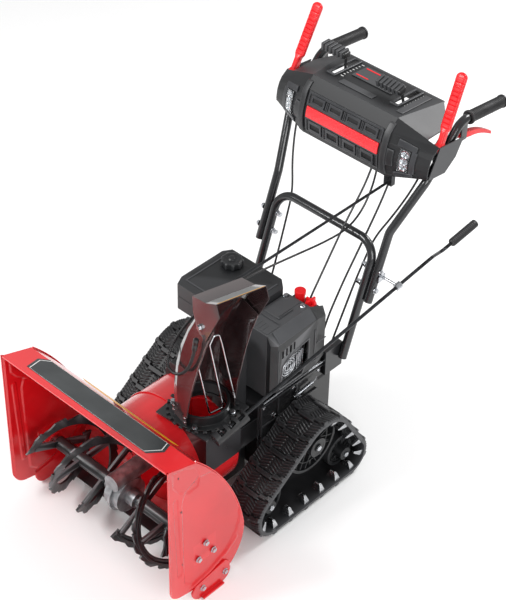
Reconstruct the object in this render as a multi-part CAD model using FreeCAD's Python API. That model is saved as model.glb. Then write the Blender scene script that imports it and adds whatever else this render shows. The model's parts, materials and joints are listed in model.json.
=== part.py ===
import FreeCAD, Part
import math
import os
from FreeCAD import Rotation
from FreeCAD import Vector as V

# Tracked two stage snowblower, in millimetres.
# +X is the machine's left, -Y its front, +Z up. The origin is on the ground, on the centre plane,
# below the front edge of the auger housing.

# --- housing -------------------------------------------------------------------------------------
WORK_WIDTH = 620.0
SHEET = 3.0
MOUTH_TOP = 546.0
TOP_REAR = (101.0, 512.0)
BACK_MID = (225.0, 332.0)
BACK_REAR = (280.0, 157.0)
HEEL_MID = (268.0, 92.0)
HEEL = (224.0, 35.0)
SIDE_BOTTOM_REAR = (76.0, 49.0)
SIDE_BOTTOM_FRONT = (45.0, 56.0)
SIDE_CORNER_MID = (12.0, 75.0)
SIDE_FRONT_LOW = (0.0, 111.0)
BLADE_LENGTH = 600.0
BLADE_THICK = 5.0
SKID_LENGTH = 144.0
SKID_REAR = 223.0
SKID_HEIGHT = 76.0
SKID_THICK = 6.0
SKID_FOOT = 16.0

# --- rotors --------------------------------------------------------------------------------------
RUN_GAP = 0.05
CLEAR = 0.5
AUGER_Y = 135.0
AUGER_Z = 165.0
AUGER_RADIUS = 124.0
FLIGHT_WIDTH = 30.0
FLIGHT_THICK = 5.0
FLIGHT_TURNS = 0.9
FLIGHT_LENGTH = 205.0
FLIGHT_START = 62.0
AUGER_TUBE_RADIUS = 19.0
SHAFT_RADIUS = 12.5
GEAR_CENTRES = 58.0
WHEEL_TEETH = 20
WHEEL_PITCH_RADIUS = 42.0
WORM_STARTS = 2
DRUM_RADIUS = 163.0
DRUM_REAR = 408.0
ROTOR_TIP_GAP = 6.0
ROTOR_FRONT = 296.0
ROTOR_REAR = 396.0
ROTOR_BLADES = 4

# --- chute ---------------------------------------------------------------------------------------
CHUTE_X = 98.0
CHUTE_Y = 338.0
CHUTE_HEADING = -15.0
RING_Z = 398.0
NECK_RADIUS = 73.5
NECK_BORE = 66.0
RING_RADIUS = 98.0
RING_THICK = 5.0
RING_SLOTS = 26
RING_SLOT_DEPTH = 9.0
BASE_BORE = 64.0
CHUTE_SKIN = 2.0
CHUTE_TOP = 820.0
HOOD_GAP = 0.6
HOOD_PIVOT = (112.0, 798.0)
GUARD_WIRE = 2.5

# --- crank ---------------------------------------------------------------------------------------
EYE = (275.0, 917.0, 584.0)
CRANK_ROD_RADIUS = 5.0
WORM_RADIUS = 12.0
WORM_WIRE = 3.0
CRANK_REACH = 132.0
CRANK_ARM = 90.0
CRANK_PIN = 30.0
CRANK_GRIP_LENGTH = 96.0

# --- drive ---------------------------------------------------------------------------------------
PULLEY_Y = 445.0
IMPELLER_PULLEY_RADIUS = 92.0
ENGINE_PULLEY_RADIUS = 36.8
CRANKSHAFT_Z = 432.0
BELT_THICK = 8.0
BELT_WIDTH = 11.0
TRACK_INNER = 175.0
TRACK_WIDTH = 128.0
TRACK_SKIN = 8.0
LUG_HEIGHT = 10.0
LUG_THICK = 16.0
LUG_PITCH = 64.5
FIN_HEIGHT = 15.0
DRIVE_WHEEL = (614.0, 180.0, 105.0)
FRONT_IDLER = (424.5, 82.5, 72.5)
REAR_IDLER = (736.0, 70.0, 60.0)
WHEEL_INNER = 206.0
WHEEL_WIDTH = 48.0
AXLE_RADIUS = 12.5
IDLER_PIN_RADIUS = 8.0

# --- body ----------------------------------------------------------------------------------------
CHASSIS_HALF = 150.0
CHASSIS_FRONT = 500.0
CHASSIS_REAR = 800.0
CHASSIS_BOTTOM = 96.0
DECK_Z = 330.0
COVER_TOP = 566.0
SHROUD_FRONT = 528.0
SHROUD_REAR = 700.0
SHROUD_INNER = 62.0
SHROUD_OUTER = 150.0
SIDE_COVER_OUTER = 178.0
TANK_TOP = 585.0
TANK_BOTTOM = 497.0
CAP_X = -112.0
CAP_Y = 665.0
CHOKE = (130.0, 724.0)

# --- handles and dash ----------------------------------------------------------------------------
HANDLE_TUBE = 12.5
LOWER_X = 180.0
LOWER_FOOT = (813.0, 330.0)
LOWER_CORNER = (930.0, 668.0)
UPPER_X = 205.5
UPPER_FOOT = (878.0, 510.0)
UPPER_BEND = (950.0, 712.0)
UPPER_DASH = (247.0, 1037.0, 856.0)
UPPER_TOP = (249.0, 1168.0, 993.3)
GRIP_START = (250.0, 1197.0, 990.0)
GRIP_END = (251.0, 1345.0, 973.0)
GRIP_RADIUS = 17.0
LEVER_PIVOT = (262.0, 1062.0, 964.0)
LEVER_TIP = (252.0, 1149.0, 1154.0)
TRIGGER_PIVOT = (250.0, 1172.0, 946.0)
TRIGGER_TIP = (252.0, 1302.0, 899.0)
PIVOT_PIN = 4.0
DASH_SKIN = 3.0
DASH_MID = 150.0
DASH_END = 272.0
DASH_REAR = 1184.0
DASH_REAR_Z = 1012.0
STICK_PIVOT_Z = 925.0
STICK_TOP_Z = 1052.0
STICK_RADIUS = 4.0
CABLE_RADIUS = 3.0

NODES = {}


def add(name, *shapes):
    """Keep one node: a single solid, or a group of separate solids."""
    NODES[name] = shapes[0] if len(shapes) == 1 else Part.makeCompound(list(shapes))


def box(x, y, z):
    return Part.makeBox(x[1] - x[0], y[1] - y[0], z[1] - z[0], V(x[0], y[0], z[0]))


def rod(start, end, radius):
    a = V(*start)
    b = V(*end)
    return Part.makeCylinder(radius, (b - a).Length, a, b - a)


def tube(start, end, outer, inner):
    return rod(start, end, outer).cut(rod(start, end, inner))


def mirrored(shape):
    """The same piece on the machine's right."""
    return shape.mirror(V(0, 0, 0), V(1, 0, 0))


def joined(first, *others):
    return first.fuse(list(others)).removeSplitter()


def edges_through(points, close=True):
    """Straight edges between points; a point given as a pair (middle, end) is an arc."""
    edges = []
    here = points[0]
    stops = points[1:] + ([points[0]] if close else [])
    for stop in stops:
        if isinstance(stop, tuple):
            middle, end = stop
            edges.append(Part.Arc(here, middle, end).toShape())
            here = end
        elif (stop - here).Length > 1e-6:
            edges.append(Part.LineSegment(here, stop).toShape())
            here = stop
    return edges


def side_outline(points, x):
    """A closed outline in the plane X = x from (y, z) points; a nested pair is an arc."""
    placed = []
    for point in points:
        if isinstance(point[0], tuple):
            placed.append(tuple(V(x, p[0], p[1]) for p in point))
        else:
            placed.append(V(x, point[0], point[1]))
    return Part.Face(Part.Wire(edges_through(placed)))


def side_plate(points, x_low, x_high):
    return side_outline(points, x_low).extrude(V(x_high - x_low, 0, 0))


def front_plate(points, y_low, y_high):
    """A prism along Y from a closed outline of (x, z) points."""
    wire = Part.makePolygon([V(x, y_low, z) for x, z in points + points[:1]])
    return Part.Face(wire).extrude(V(0, y_high - y_low, 0))


def flat_plate(points, z_low, z_high):
    """A prism along Z from a closed outline of (x, y) points."""
    wire = Part.makePolygon([V(x, y, z_low) for x, y in points + points[:1]])
    return Part.Face(wire).extrude(V(0, 0, z_high - z_low))


def skinned(rings, closed=False):
    """A solid with flat facets through rings of as many points each, capped unless closed."""
    faces = []

    def facet(a, b, c):
        if (b - a).cross(c - a).Length > 1e-7:
            faces.append(Part.Face(Part.makePolygon([a, b, c, a])))

    count = len(rings[0])
    pairs = list(zip(rings, rings[1:]))
    if closed:
        pairs.append((rings[-1], rings[0]))
    for low, high in pairs:
        for i in range(count):
            j = (i + 1) % count
            facet(low[i], low[j], high[j])
            facet(low[i], high[j], high[i])
    if not closed:
        for ring in (rings[0], rings[-1]):
            half = count // 2
            for i in range(half - 1):
                facet(ring[i], ring[i + 1], ring[count - 2 - i])
                facet(ring[i], ring[count - 2 - i], ring[count - 1 - i])
    shell = Part.makeShell(faces)
    shell.sewShape()
    solid = Part.makeSolid(shell)
    return solid.reversed() if solid.Volume < 0 else solid


def bent_path(points, bends):
    """Straight runs joined by tangent arcs: the wire, its length and its arc radii."""
    corners = [V(*p) for p in points]
    edges = []
    length = 0.0
    radii = []
    here = corners[0]
    for i in range(1, len(corners) - 1):
        before = (corners[i - 1] - corners[i]).normalize()
        after = (corners[i + 1] - corners[i]).normalize()
        turn = math.pi - before.getAngle(after)
        runs = min((corners[i] - corners[i - 1]).Length, (corners[i + 1] - corners[i]).Length)
        radius = bends if bends else 0.45 * runs / math.tan(turn / 2)
        back = radius * math.tan(turn / 2)
        start = corners[i] + before * back
        end = corners[i] + after * back
        inward = (before + after).normalize()
        centre = corners[i] + inward * (radius / math.cos(turn / 2))
        middle = centre - inward * radius
        edges.append(Part.LineSegment(here, start).toShape())
        edges.append(Part.Arc(start, middle, end).toShape())
        length += (start - here).Length + radius * turn
        radii.append(radius)
        here = end
    edges.append(Part.LineSegment(here, corners[-1]).toShape())
    length += (corners[-1] - here).Length
    return Part.Wire(edges), length, radii


def bent_bar(points, radius, bends=None, bore=0.0):
    """A round bar, or a tube with a bore, along straight runs and tangent arcs."""
    wire, length, radii = bent_path(points, bends)
    start = V(*points[0])
    along = V(*points[1]) - start
    solid = wire.makePipeShell([Part.Wire(Part.makeCircle(radius, start, along))], True, False)
    section = math.pi * radius * radius
    if bore:
        inside = wire.makePipeShell([Part.Wire(Part.makeCircle(bore, start, along))], True, False)
        solid = solid.cut(inside)
        section -= math.pi * bore * bore
    if abs(abs(solid.Volume) / (section * length) - 1) > 0.01:
        raise RuntimeError("bent bar volume does not match its section times its length")
    return solid, radii


def hex_bolt(place, outward, flats=13.0, head=5.5, washer=9.0):
    """A hex head on its washer, standing on a face at place."""
    base = V(*place)
    axis = V(*outward).normalize()
    disc = Part.makeCylinder(washer, 1.6, base, axis)
    across = flats / math.sqrt(3)
    turn = Rotation(V(0, 0, 1), axis)
    corners = [turn.multVec(V(across * math.cos(a), across * math.sin(a), 0)) + base + axis * 1.6
               for a in [math.radians(60 * k) for k in range(7)]]
    return disc.fuse(Part.Face(Part.makePolygon(corners)).extrude(axis * head)).removeSplitter()


def circle_3(a, b, c):
    """Centre and radius of the circle through three (y, z) points."""
    ax, ay = a
    bx, by = b
    cx, cy = c
    d = 2 * (ax * (by - cy) + bx * (cy - ay) + cx * (ay - by))
    a2 = ax * ax + ay * ay
    b2 = bx * bx + by * by
    c2 = cx * cx + cy * cy
    y = (a2 * (by - cy) + b2 * (cy - ay) + c2 * (ay - by)) / d
    z = (a2 * (cx - bx) + b2 * (ax - cx) + c2 * (bx - ax)) / d
    return (y, z), math.hypot(ax - y, ay - z)


def pulled_in(point, centre, amount):
    """A point moved towards a centre."""
    reach = math.hypot(point[0] - centre[0], point[1] - centre[1])
    share = amount / reach
    return tuple(p + (c - p) * share for p, c in zip(point, centre))


# --- auger housing -------------------------------------------------------------------------------
HALF = WORK_WIDTH / 2
IMPELLER_Z = AUGER_Z + GEAR_CENTRES
NOSE = (0.0, MOUTH_TOP)


def housing_profile():
    """The outside of the wall from the top edge round to the heel, then straight back to it."""
    return [NOSE, TOP_REAR, (BACK_MID, BACK_REAR), (HEEL_MID, HEEL)]


def housing_filled():
    """Everything inside the outer face of the wall, out to the open front."""
    profile = housing_profile() + [(-200.0, HEEL[1]), (-200.0, MOUTH_TOP)]
    return side_plate(profile, -HALF, HALF)


def make_housing():
    back_centre, _ = circle_3(TOP_REAR, BACK_MID, BACK_REAR)
    heel_centre, _ = circle_3(BACK_REAR, HEEL_MID, HEEL)
    inner = [pulled_in(HEEL, heel_centre, SHEET),
             (pulled_in(HEEL_MID, heel_centre, SHEET), pulled_in(BACK_REAR, heel_centre, SHEET)),
             (pulled_in(BACK_MID, back_centre, SHEET), pulled_in(TOP_REAR, back_centre, SHEET)),
             (0.0, MOUTH_TOP - SHEET)]
    wall = side_plate(housing_profile() + inner, SHEET - HALF, HALF - SHEET)
    mouth = rod((0, 100, IMPELLER_Z), (0, 330, IMPELLER_Z), DRUM_RADIUS - SHEET)
    add("housing_wall", wall.cut(mouth))

    outline = housing_profile() + [SIDE_BOTTOM_REAR, SIDE_BOTTOM_FRONT,
                                   (SIDE_CORNER_MID, SIDE_FRONT_LOW)]
    plate = side_plate(outline, HALF - SHEET, HALF)
    add("side_plates", plate, mirrored(plate))

    drum = tube((0, 100, IMPELLER_Z), (0, DRUM_REAR, IMPELLER_Z), DRUM_RADIUS, DRUM_RADIUS - SHEET)
    back = tube((0, DRUM_REAR, IMPELLER_Z), (0, DRUM_REAR + SHEET, IMPELLER_Z), DRUM_RADIUS,
                SHAFT_RADIUS + CLEAR)
    outlet = rod((CHUTE_X, CHUTE_Y, IMPELLER_Z), (CHUTE_X, CHUTE_Y, RING_Z), BASE_BORE)
    drum = joined(drum, back).cut(housing_filled()).cut(outlet)
    add("impeller_drum", drum)

    heel_low = HEEL[1] - BLADE_THICK
    add("scraper_blade", box((-BLADE_LENGTH / 2, BLADE_LENGTH / 2), (HEEL[0] - 60, HEEL[0] - 4),
                             (heel_low - 3, heel_low)))


def make_skids():
    front = SKID_REAR - SKID_LENGTH
    outline = [(front + 34, 0.0), (SKID_REAR - 32, 0.0),
               ((SKID_REAR - 8, 12.0), (SKID_REAR, 34.0)), (SKID_REAR - 4, SKID_HEIGHT - 14),
               (SKID_REAR - 20, SKID_HEIGHT), (front + 14, SKID_HEIGHT - 16),
               (front, SKID_HEIGHT - 34), ((front + 10, 12.0), (front + 34, 0.0))]
    shoe = side_plate(outline, HALF, HALF + SKID_THICK)
    foot = box((HALF, HALF + SKID_FOOT), (front + 34, SKID_REAR - 32), (0.0, SKID_THICK))
    shoe = joined(shoe, foot)
    add("skid_shoes", shoe, mirrored(shoe))


def make_bearing_brackets():
    face = HALF - SHEET
    sleeve = tube((face - 26, AUGER_Y, AUGER_Z), (face, AUGER_Y, AUGER_Z), 23.0,
                  SHAFT_RADIUS + RUN_GAP)
    flange = box((face - 4, face), (AUGER_Y - 42, AUGER_Y + 42), (AUGER_Z - 34, AUGER_Z + 42))
    bore = rod((face - 5, AUGER_Y, AUGER_Z), (face, AUGER_Y, AUGER_Z), SHAFT_RADIUS + RUN_GAP)
    bracket = joined(sleeve, flange.cut(bore))
    add("auger_bearings", bracket, mirrored(bracket))


def make_gearbox_case():
    """A cast case round the worm wheel, with a tail that holds the impeller shaft."""
    half = 26.0
    barrel = rod((-half, AUGER_Y, AUGER_Z), (half, AUGER_Y, AUGER_Z), WHEEL_PITCH_RADIUS + 10)
    hubs = rod((-54, AUGER_Y, AUGER_Z), (54, AUGER_Y, AUGER_Z), 24.0)
    tail = rod((0, AUGER_Y - 46, IMPELLER_Z), (0, 246, IMPELLER_Z), 26.0)
    seam = rod((-4, AUGER_Y, AUGER_Z), (4, AUGER_Y, AUGER_Z), WHEEL_PITCH_RADIUS + 18)
    case = joined(barrel, hubs, tail, seam)
    wheel_room = rod((4 - half, AUGER_Y, AUGER_Z), (half - 4, AUGER_Y, AUGER_Z),
                     WHEEL_PITCH_RADIUS + 5)
    worm_room = rod((0, AUGER_Y - 26, IMPELLER_Z), (0, 240, IMPELLER_Z), 20.0)
    auger_bore = rod((-60, AUGER_Y, AUGER_Z), (60, AUGER_Y, AUGER_Z), SHAFT_RADIUS + RUN_GAP)
    rear_bore = rod((0, 230, IMPELLER_Z), (0, 260, IMPELLER_Z), SHAFT_RADIUS + RUN_GAP)
    front_bore = rod((0, AUGER_Y - 38, IMPELLER_Z), (0, AUGER_Y, IMPELLER_Z), 9.0 + RUN_GAP)
    for room in (wheel_room, worm_room, auger_bore, rear_bore, front_bore):
        case = case.cut(room)
    add("gearbox_case", case)


# --- rotors --------------------------------------------------------------------------------------
def flight_rings(start_angle, hand):
    """Rings of a serrated ribbon that winds outwards along +X."""
    steps = 40
    rings = []
    for k in range(steps + 1):
        share = k / steps
        angle = start_angle + hand * share * FLIGHT_TURNS * 2 * math.pi
        x = FLIGHT_START + 4 + share * (FLIGHT_LENGTH - 8)
        tooth = 0.0 if k % 4 < 2 else 9.0
        ring = []
        for radius, shift in ((AUGER_RADIUS - FLIGHT_WIDTH, 0.0), (AUGER_RADIUS - tooth, 0.0),
                              (AUGER_RADIUS - tooth, FLIGHT_THICK),
                              (AUGER_RADIUS - FLIGHT_WIDTH, FLIGHT_THICK)):
            ring.append(V(x + shift, AUGER_Y + radius * math.cos(angle),
                          AUGER_Z + radius * math.sin(angle)))
        rings.append(ring)
    return rings


def flight_half(hand):
    """One auger: its tube, two ribbons half a turn apart, and three spokes to each."""
    end = FLIGHT_START + FLIGHT_LENGTH
    piece = tube((FLIGHT_START, AUGER_Y, AUGER_Z), (end, AUGER_Y, AUGER_Z), AUGER_TUBE_RADIUS,
                 SHAFT_RADIUS)
    reach = AUGER_RADIUS - FLIGHT_WIDTH + 4
    for begin in (math.radians(200), math.radians(20)):
        piece = piece.fuse(skinned(flight_rings(begin, hand)))
        for share in (0.03, 0.5, 0.97):
            angle = begin + hand * share * FLIGHT_TURNS * 2 * math.pi
            x = FLIGHT_START + 4 + share * (FLIGHT_LENGTH - 8)
            spoke = box((x - 1, x + FLIGHT_THICK + 1), (SHAFT_RADIUS + 3, reach), (-11, 11))
            spoke.rotate(V(0, 0, 0), V(1, 0, 0), math.degrees(angle))
            spoke.translate(V(0, AUGER_Y, AUGER_Z))
            piece = piece.fuse(spoke)
    return piece.removeSplitter()


def make_auger():
    shaft = rod((-HALF + SHEET + CLEAR, AUGER_Y, AUGER_Z), (HALF - SHEET - CLEAR, AUGER_Y, AUGER_Z),
                SHAFT_RADIUS)
    add("auger_shaft", shaft)
    blank = tube((-4, AUGER_Y, AUGER_Z), (4, AUGER_Y, AUGER_Z), WHEEL_PITCH_RADIUS - 2.2,
                 SHAFT_RADIUS)
    teeth = []
    for k in range(WHEEL_TEETH):
        tooth = box((-4, 4), (-1.8, 1.8), (WHEEL_PITCH_RADIUS - 4, WHEEL_PITCH_RADIUS + 1.5))
        tooth.rotate(V(0, 0, 0), V(1, 0, 0), (k + 0.5) * 360 / WHEEL_TEETH)
        tooth.translate(V(0, AUGER_Y, AUGER_Z))
        teeth.append(tooth)
    add("worm_wheel", joined(blank, *teeth))
    flights = flight_half(1)
    add("auger_flights", flights, mirrored(flights))


def worm_ridge(radius, wire, lead, length, start_angle):
    """A round ridge wound right-handed about Z, as facets, from -length/2 to length/2."""
    steps = max(24, int(length / lead * 24))
    rings = []
    slope = math.atan2(lead, 2 * math.pi * radius)
    for k in range(steps + 1):
        height = -length / 2 + length * k / steps
        angle = start_angle + 2 * math.pi * height / lead
        out = V(math.cos(angle), math.sin(angle), 0)
        round_it = V(-math.sin(angle), math.cos(angle), 0)
        along = round_it * math.cos(slope) + V(0, 0, math.sin(slope))
        side = along.cross(out)
        centre = out * radius + V(0, 0, height)
        rings.append([centre + out * (wire * math.cos(a)) + side * (wire * math.sin(a))
                      for a in [math.radians(60 * n) for n in range(6)]])
    return skinned(rings)


def make_impeller():
    """Shaft, worm and rotor in one piece, turning on the drum's axis."""
    lead = WORM_STARTS * 2 * math.pi * WHEEL_PITCH_RADIUS / WHEEL_TEETH
    neck = 9.0
    worm_end = AUGER_Y + 24
    front = rod((0, AUGER_Y - 36, IMPELLER_Z), (0, worm_end, IMPELLER_Z), neck)
    rear = rod((0, worm_end, IMPELLER_Z), (0, PULLEY_Y + 44, IMPELLER_Z), SHAFT_RADIUS)
    pitch_radius = GEAR_CENTRES - WHEEL_PITCH_RADIUS
    core = rod((0, AUGER_Y - 22, IMPELLER_Z), (0, worm_end, IMPELLER_Z), pitch_radius - 3)
    shaft = front.fuse([rear, core])
    for start in range(WORM_STARTS):
        ridge = worm_ridge(pitch_radius - 1.6, 2.2, lead, 34.0, 2 * math.pi * start / WORM_STARTS)
        ridge.rotate(V(0, 0, 0), V(1, 0, 0), -90)
        ridge.rotate(V(0, 0, 0), V(0, 1, 0), 90)
        ridge.translate(V(0, AUGER_Y, IMPELLER_Z))
        shaft = shaft.fuse(ridge)

    tip = DRUM_RADIUS - SHEET - ROTOR_TIP_GAP
    rotor = tube((0, ROTOR_FRONT, IMPELLER_Z), (0, ROTOR_REAR, IMPELLER_Z), 30.0, SHAFT_RADIUS)
    for k in range(ROTOR_BLADES):
        blade = box((-3, 3), (ROTOR_FRONT + 4, ROTOR_REAR - 4), (28, tip - 3))
        lip = box((-3, 16), (ROTOR_FRONT + 4, ROTOR_REAR - 4), (tip - 9, tip - 3))
        vane = joined(blade, lip)
        vane.rotate(V(0, 0, 0), V(0, 1, 0), k * 360 / ROTOR_BLADES)
        vane.translate(V(0, 0, IMPELLER_Z))
        rotor = rotor.fuse(vane)
    add("impeller", joined(shaft, rotor))


def grooved_pulley(radius, bore, y, z):
    """A pulley with two belt grooves, on an axis along Y."""
    groove = radius - BELT_THICK - 0.4
    pitch = BELT_WIDTH + 5
    disc = tube((0, y, z), (0, y + 2 * pitch + 4, z), radius + 3, bore)
    for k in range(2):
        low = y + 4 + k * pitch
        disc = disc.cut(tube((0, low, z), (0, low + BELT_WIDTH + 1, z), radius + 9, groove))
    return disc


def band_round(low, high, y_low, y_high):
    """A closed band round two circles (z, radius) on the centre plane, thickness outwards."""
    def hull(extra):
        (z1, r1), (z2, r2) = low, high
        r1 += extra
        r2 += extra
        lean = math.asin((r1 - r2) / (z2 - z1))
        def at(z, r, side):
            return V(side * r * math.cos(lean), y_low, z + r * math.sin(lean))
        arc_low = Part.Arc(at(z1, r1, 1), V(0, y_low, z1 - r1), at(z1, r1, -1)).toShape()
        arc_high = Part.Arc(at(z2, r2, -1), V(0, y_low, z2 + r2), at(z2, r2, 1)).toShape()
        left = Part.LineSegment(at(z1, r1, -1), at(z2, r2, -1)).toShape()
        right = Part.LineSegment(at(z2, r2, 1), at(z1, r1, 1)).toShape()
        return Part.Face(Part.Wire([arc_low, left, arc_high, right])).extrude(
            V(0, y_high - y_low, 0))
    return hull(BELT_THICK).cut(hull(0.0))


def make_belt_drive():
    add("impeller_pulley", grooved_pulley(IMPELLER_PULLEY_RADIUS, SHAFT_RADIUS, PULLEY_Y,
                                          IMPELLER_Z))
    pulley = grooved_pulley(ENGINE_PULLEY_RADIUS, SHAFT_RADIUS, PULLEY_Y, CRANKSHAFT_Z)
    stub = rod((0, PULLEY_Y - 2, CRANKSHAFT_Z), (0, SHROUD_FRONT + 40, CRANKSHAFT_Z), SHAFT_RADIUS)
    add("engine_pulley", joined(pulley, stub))
    belts = []
    for k in range(2):
        y_low = PULLEY_Y + 4.5 + k * (BELT_WIDTH + 5)
        belts.append(band_round((IMPELLER_Z, IMPELLER_PULLEY_RADIUS - BELT_THICK),
                                (CRANKSHAFT_Z, ENGINE_PULLEY_RADIUS - BELT_THICK),
                                y_low, y_low + BELT_WIDTH))
    add("auger_belts", *belts)


# --- chute ---------------------------------------------------------------------------------------
def turned_chute(shape):
    """Take a shape built facing +X about the Z axis to the chute's place and heading."""
    shape.rotate(V(0, 0, 0), V(0, 0, 1), CHUTE_HEADING)
    shape.translate(V(CHUTE_X, CHUTE_Y, 0))
    return shape


WORM_CONTACT = RING_RADIUS - 4.0
WORM_DISTANCE = WORM_CONTACT + WORM_RADIUS


def crank_line():
    """The crank rod's axis: its point beside the ring, and its direction to the eye."""
    mid = RING_Z + RING_THICK / 2
    eye = V(*EYE)
    beside = V(CHUTE_X + WORM_DISTANCE, CHUTE_Y, mid)
    for _ in range(20):
        flat = V(eye.x - beside.x, eye.y - beside.y, 0).normalize()
        normal = V(flat.y, -flat.x, 0)
        beside = V(CHUTE_X, CHUTE_Y, mid) + normal * WORM_DISTANCE
    return beside, (eye - beside).normalize()


WORM_AT, CRANK_AXIS = crank_line()


def along_crank(distance):
    return tuple(WORM_AT + CRANK_AXIS * distance)


def make_chute_base():
    """The black saddle over the drum, its square flange, and the worm's cage."""
    saddle = box((18, 176), (272, 404), (IMPELLER_Z + 24, RING_Z - 6))
    saddle = saddle.cut(box((24, 170), (278, 398), (IMPELLER_Z - 10, RING_Z - 12)))
    flange = box((-88, 88), (-88, 88), (RING_Z - 6, RING_Z - 1))
    flange.rotate(V(0, 0, 0), V(0, 0, 1), 4.0)
    flange.translate(V(CHUTE_X, CHUTE_Y, 0))
    base = joined(saddle, flange)
    bore = rod((CHUTE_X, CHUTE_Y, IMPELLER_Z), (CHUTE_X, CHUTE_Y, RING_Z + 5), BASE_BORE)
    room = rod(along_crank(-46), along_crank(110), 20.0)
    drum = rod((0, 200, IMPELLER_Z), (0, 500, IMPELLER_Z), DRUM_RADIUS)
    base = base.cut(bore).cut(room).cut(drum).cut(housing_filled())
    solids = sorted(base.Solids, key=lambda s: s.Volume)
    add("chute_base", solids[-1])

    cage = tube(along_crank(-42), along_crank(58), 19.6, 17.0)
    for start in (-30, 2, 34):
        window = rod(along_crank(start), along_crank(start + 22), 30.0)
        keep = box((-3, 3), (-60, 60), (-40, 40))
        keep.translate(V(*along_crank(start + 11)) + V(17, 0, 0))
        cage = cage.cut(window.cut(keep))
    low_end = rod(along_crank(-46), along_crank(-42), 19.6)
    high_end = rod(along_crank(58), along_crank(62), 19.6)
    bore = rod(along_crank(-60), along_crank(80), CRANK_ROD_RADIUS + RUN_GAP)
    ring_room = rod((CHUTE_X, CHUTE_Y, RING_Z - 1), (CHUTE_X, CHUTE_Y, RING_Z + RING_THICK + 1),
                    RING_RADIUS + 1.0)
    bolt_room = rod((CHUTE_X, CHUTE_Y, RING_Z), (CHUTE_X, CHUTE_Y, RING_Z + 20), 91.0)
    cage = joined(cage, low_end, high_end).cut(bore).cut(ring_room).cut(bolt_room)
    solids = sorted(cage.Solids, key=lambda s: s.Volume)
    add("worm_cage", solids[-1])


def make_chute_ring():
    """A slotted ring that the worm turns, with the neck that carries the chute."""
    ring = rod((0, 0, RING_Z), (0, 0, RING_Z + RING_THICK), RING_RADIUS)
    neck = rod((0, 0, RING_Z), (0, 0, RING_Z + 34), NECK_RADIUS)
    ring = joined(ring, neck).cut(rod((0, 0, RING_Z - 1), (0, 0, RING_Z + 40), NECK_BORE))
    contact = math.degrees(math.atan2(WORM_AT.y - CHUTE_Y, WORM_AT.x - CHUTE_X)) - CHUTE_HEADING
    half_slot = 6.5
    for k in range(RING_SLOTS):
        slot = box((RING_RADIUS - RING_SLOT_DEPTH, RING_RADIUS + 5), (-half_slot, half_slot),
                   (RING_Z - 1, RING_Z + RING_THICK + 1))
        slot.rotate(V(0, 0, 0), V(0, 0, 1), contact + k * 360 / RING_SLOTS)
        ring = ring.cut(slot)
    add("chute_ring", turned_chute(ring))
    heads = []
    for k in range(4):
        angle = math.radians(45 + 90 * k)
        place = (82 * math.cos(angle), 82 * math.sin(angle), RING_Z + RING_THICK)
        heads.append(hex_bolt(place, (0, 0, 1), 12.0, 6.0, 7.5))
    NODES["chute_bolts"] = [turned_chute(head) for head in heads]


CHUTE_LEVELS = ((432.0, -2.0, -73.5, 43.0, 75.5), (505.0, -8.0, -66.0, 58.0, 74.0),
                (578.0, -2.0, -50.0, 78.0, 72.0), (657.0, 17.0, -24.0, 101.0, 69.5),
                (735.0, 48.0, 16.0, 128.0, 67.0), (CHUTE_TOP, 92.0, 72.0, 165.0, 64.5))


def channel_ring(level, skin):
    """One level of the chute: round the outside of the C, then back along its inside."""
    z, edge, back, front, half = level

    def run(inset):
        points = [V(front, -half + inset, z)]
        for k in range(9):
            swing = math.pi * k / 8 - math.pi / 2
            points.append(V(edge + (back + inset - edge) * math.cos(swing),
                            (half - inset) * math.sin(swing), z))
        points.append(V(front, half - inset, z))
        return points

    return run(0.0) + run(skin)[::-1]


def make_chute():
    channel = skinned([channel_ring(level, CHUTE_SKIN) for level in CHUTE_LEVELS])
    ear = flat_plate([(-30, NECK_RADIUS), (42, NECK_RADIUS), (42, NECK_RADIUS + 2),
                      (-30, NECK_RADIUS + 2)], RING_Z + RING_THICK, CHUTE_LEVELS[0][0])
    other = ear.mirror(V(0, 0, 0), V(0, 1, 0))
    channel = joined(channel, ear, other)
    add("chute", turned_chute(channel))

    wire = [(50, -66, 730), (48, -48, 640), (46, -6, 420), (46, 36, 424), (50, -8, 664),
            (50, 4, 690), (50, 20, 688), (50, 28, 656), (50, 68.5, 446)]
    guard, _ = bent_bar(wire, GUARD_WIRE, 6.5)
    guard = guard.cut(skinned([channel_ring(level, 8.0) for level in CHUTE_LEVELS]))
    guard = sorted(guard.Solids, key=lambda s: s.Volume)[-1]
    add("chute_guard", turned_chute(guard))


HOOD_CHEEK = ((75.0, 822.0), (98.0, 776.0), (136.0, 768.0), (203.0, 893.0), (187.0, 925.0),
              (137.0, 893.0), (73.0, 870.0))


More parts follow.
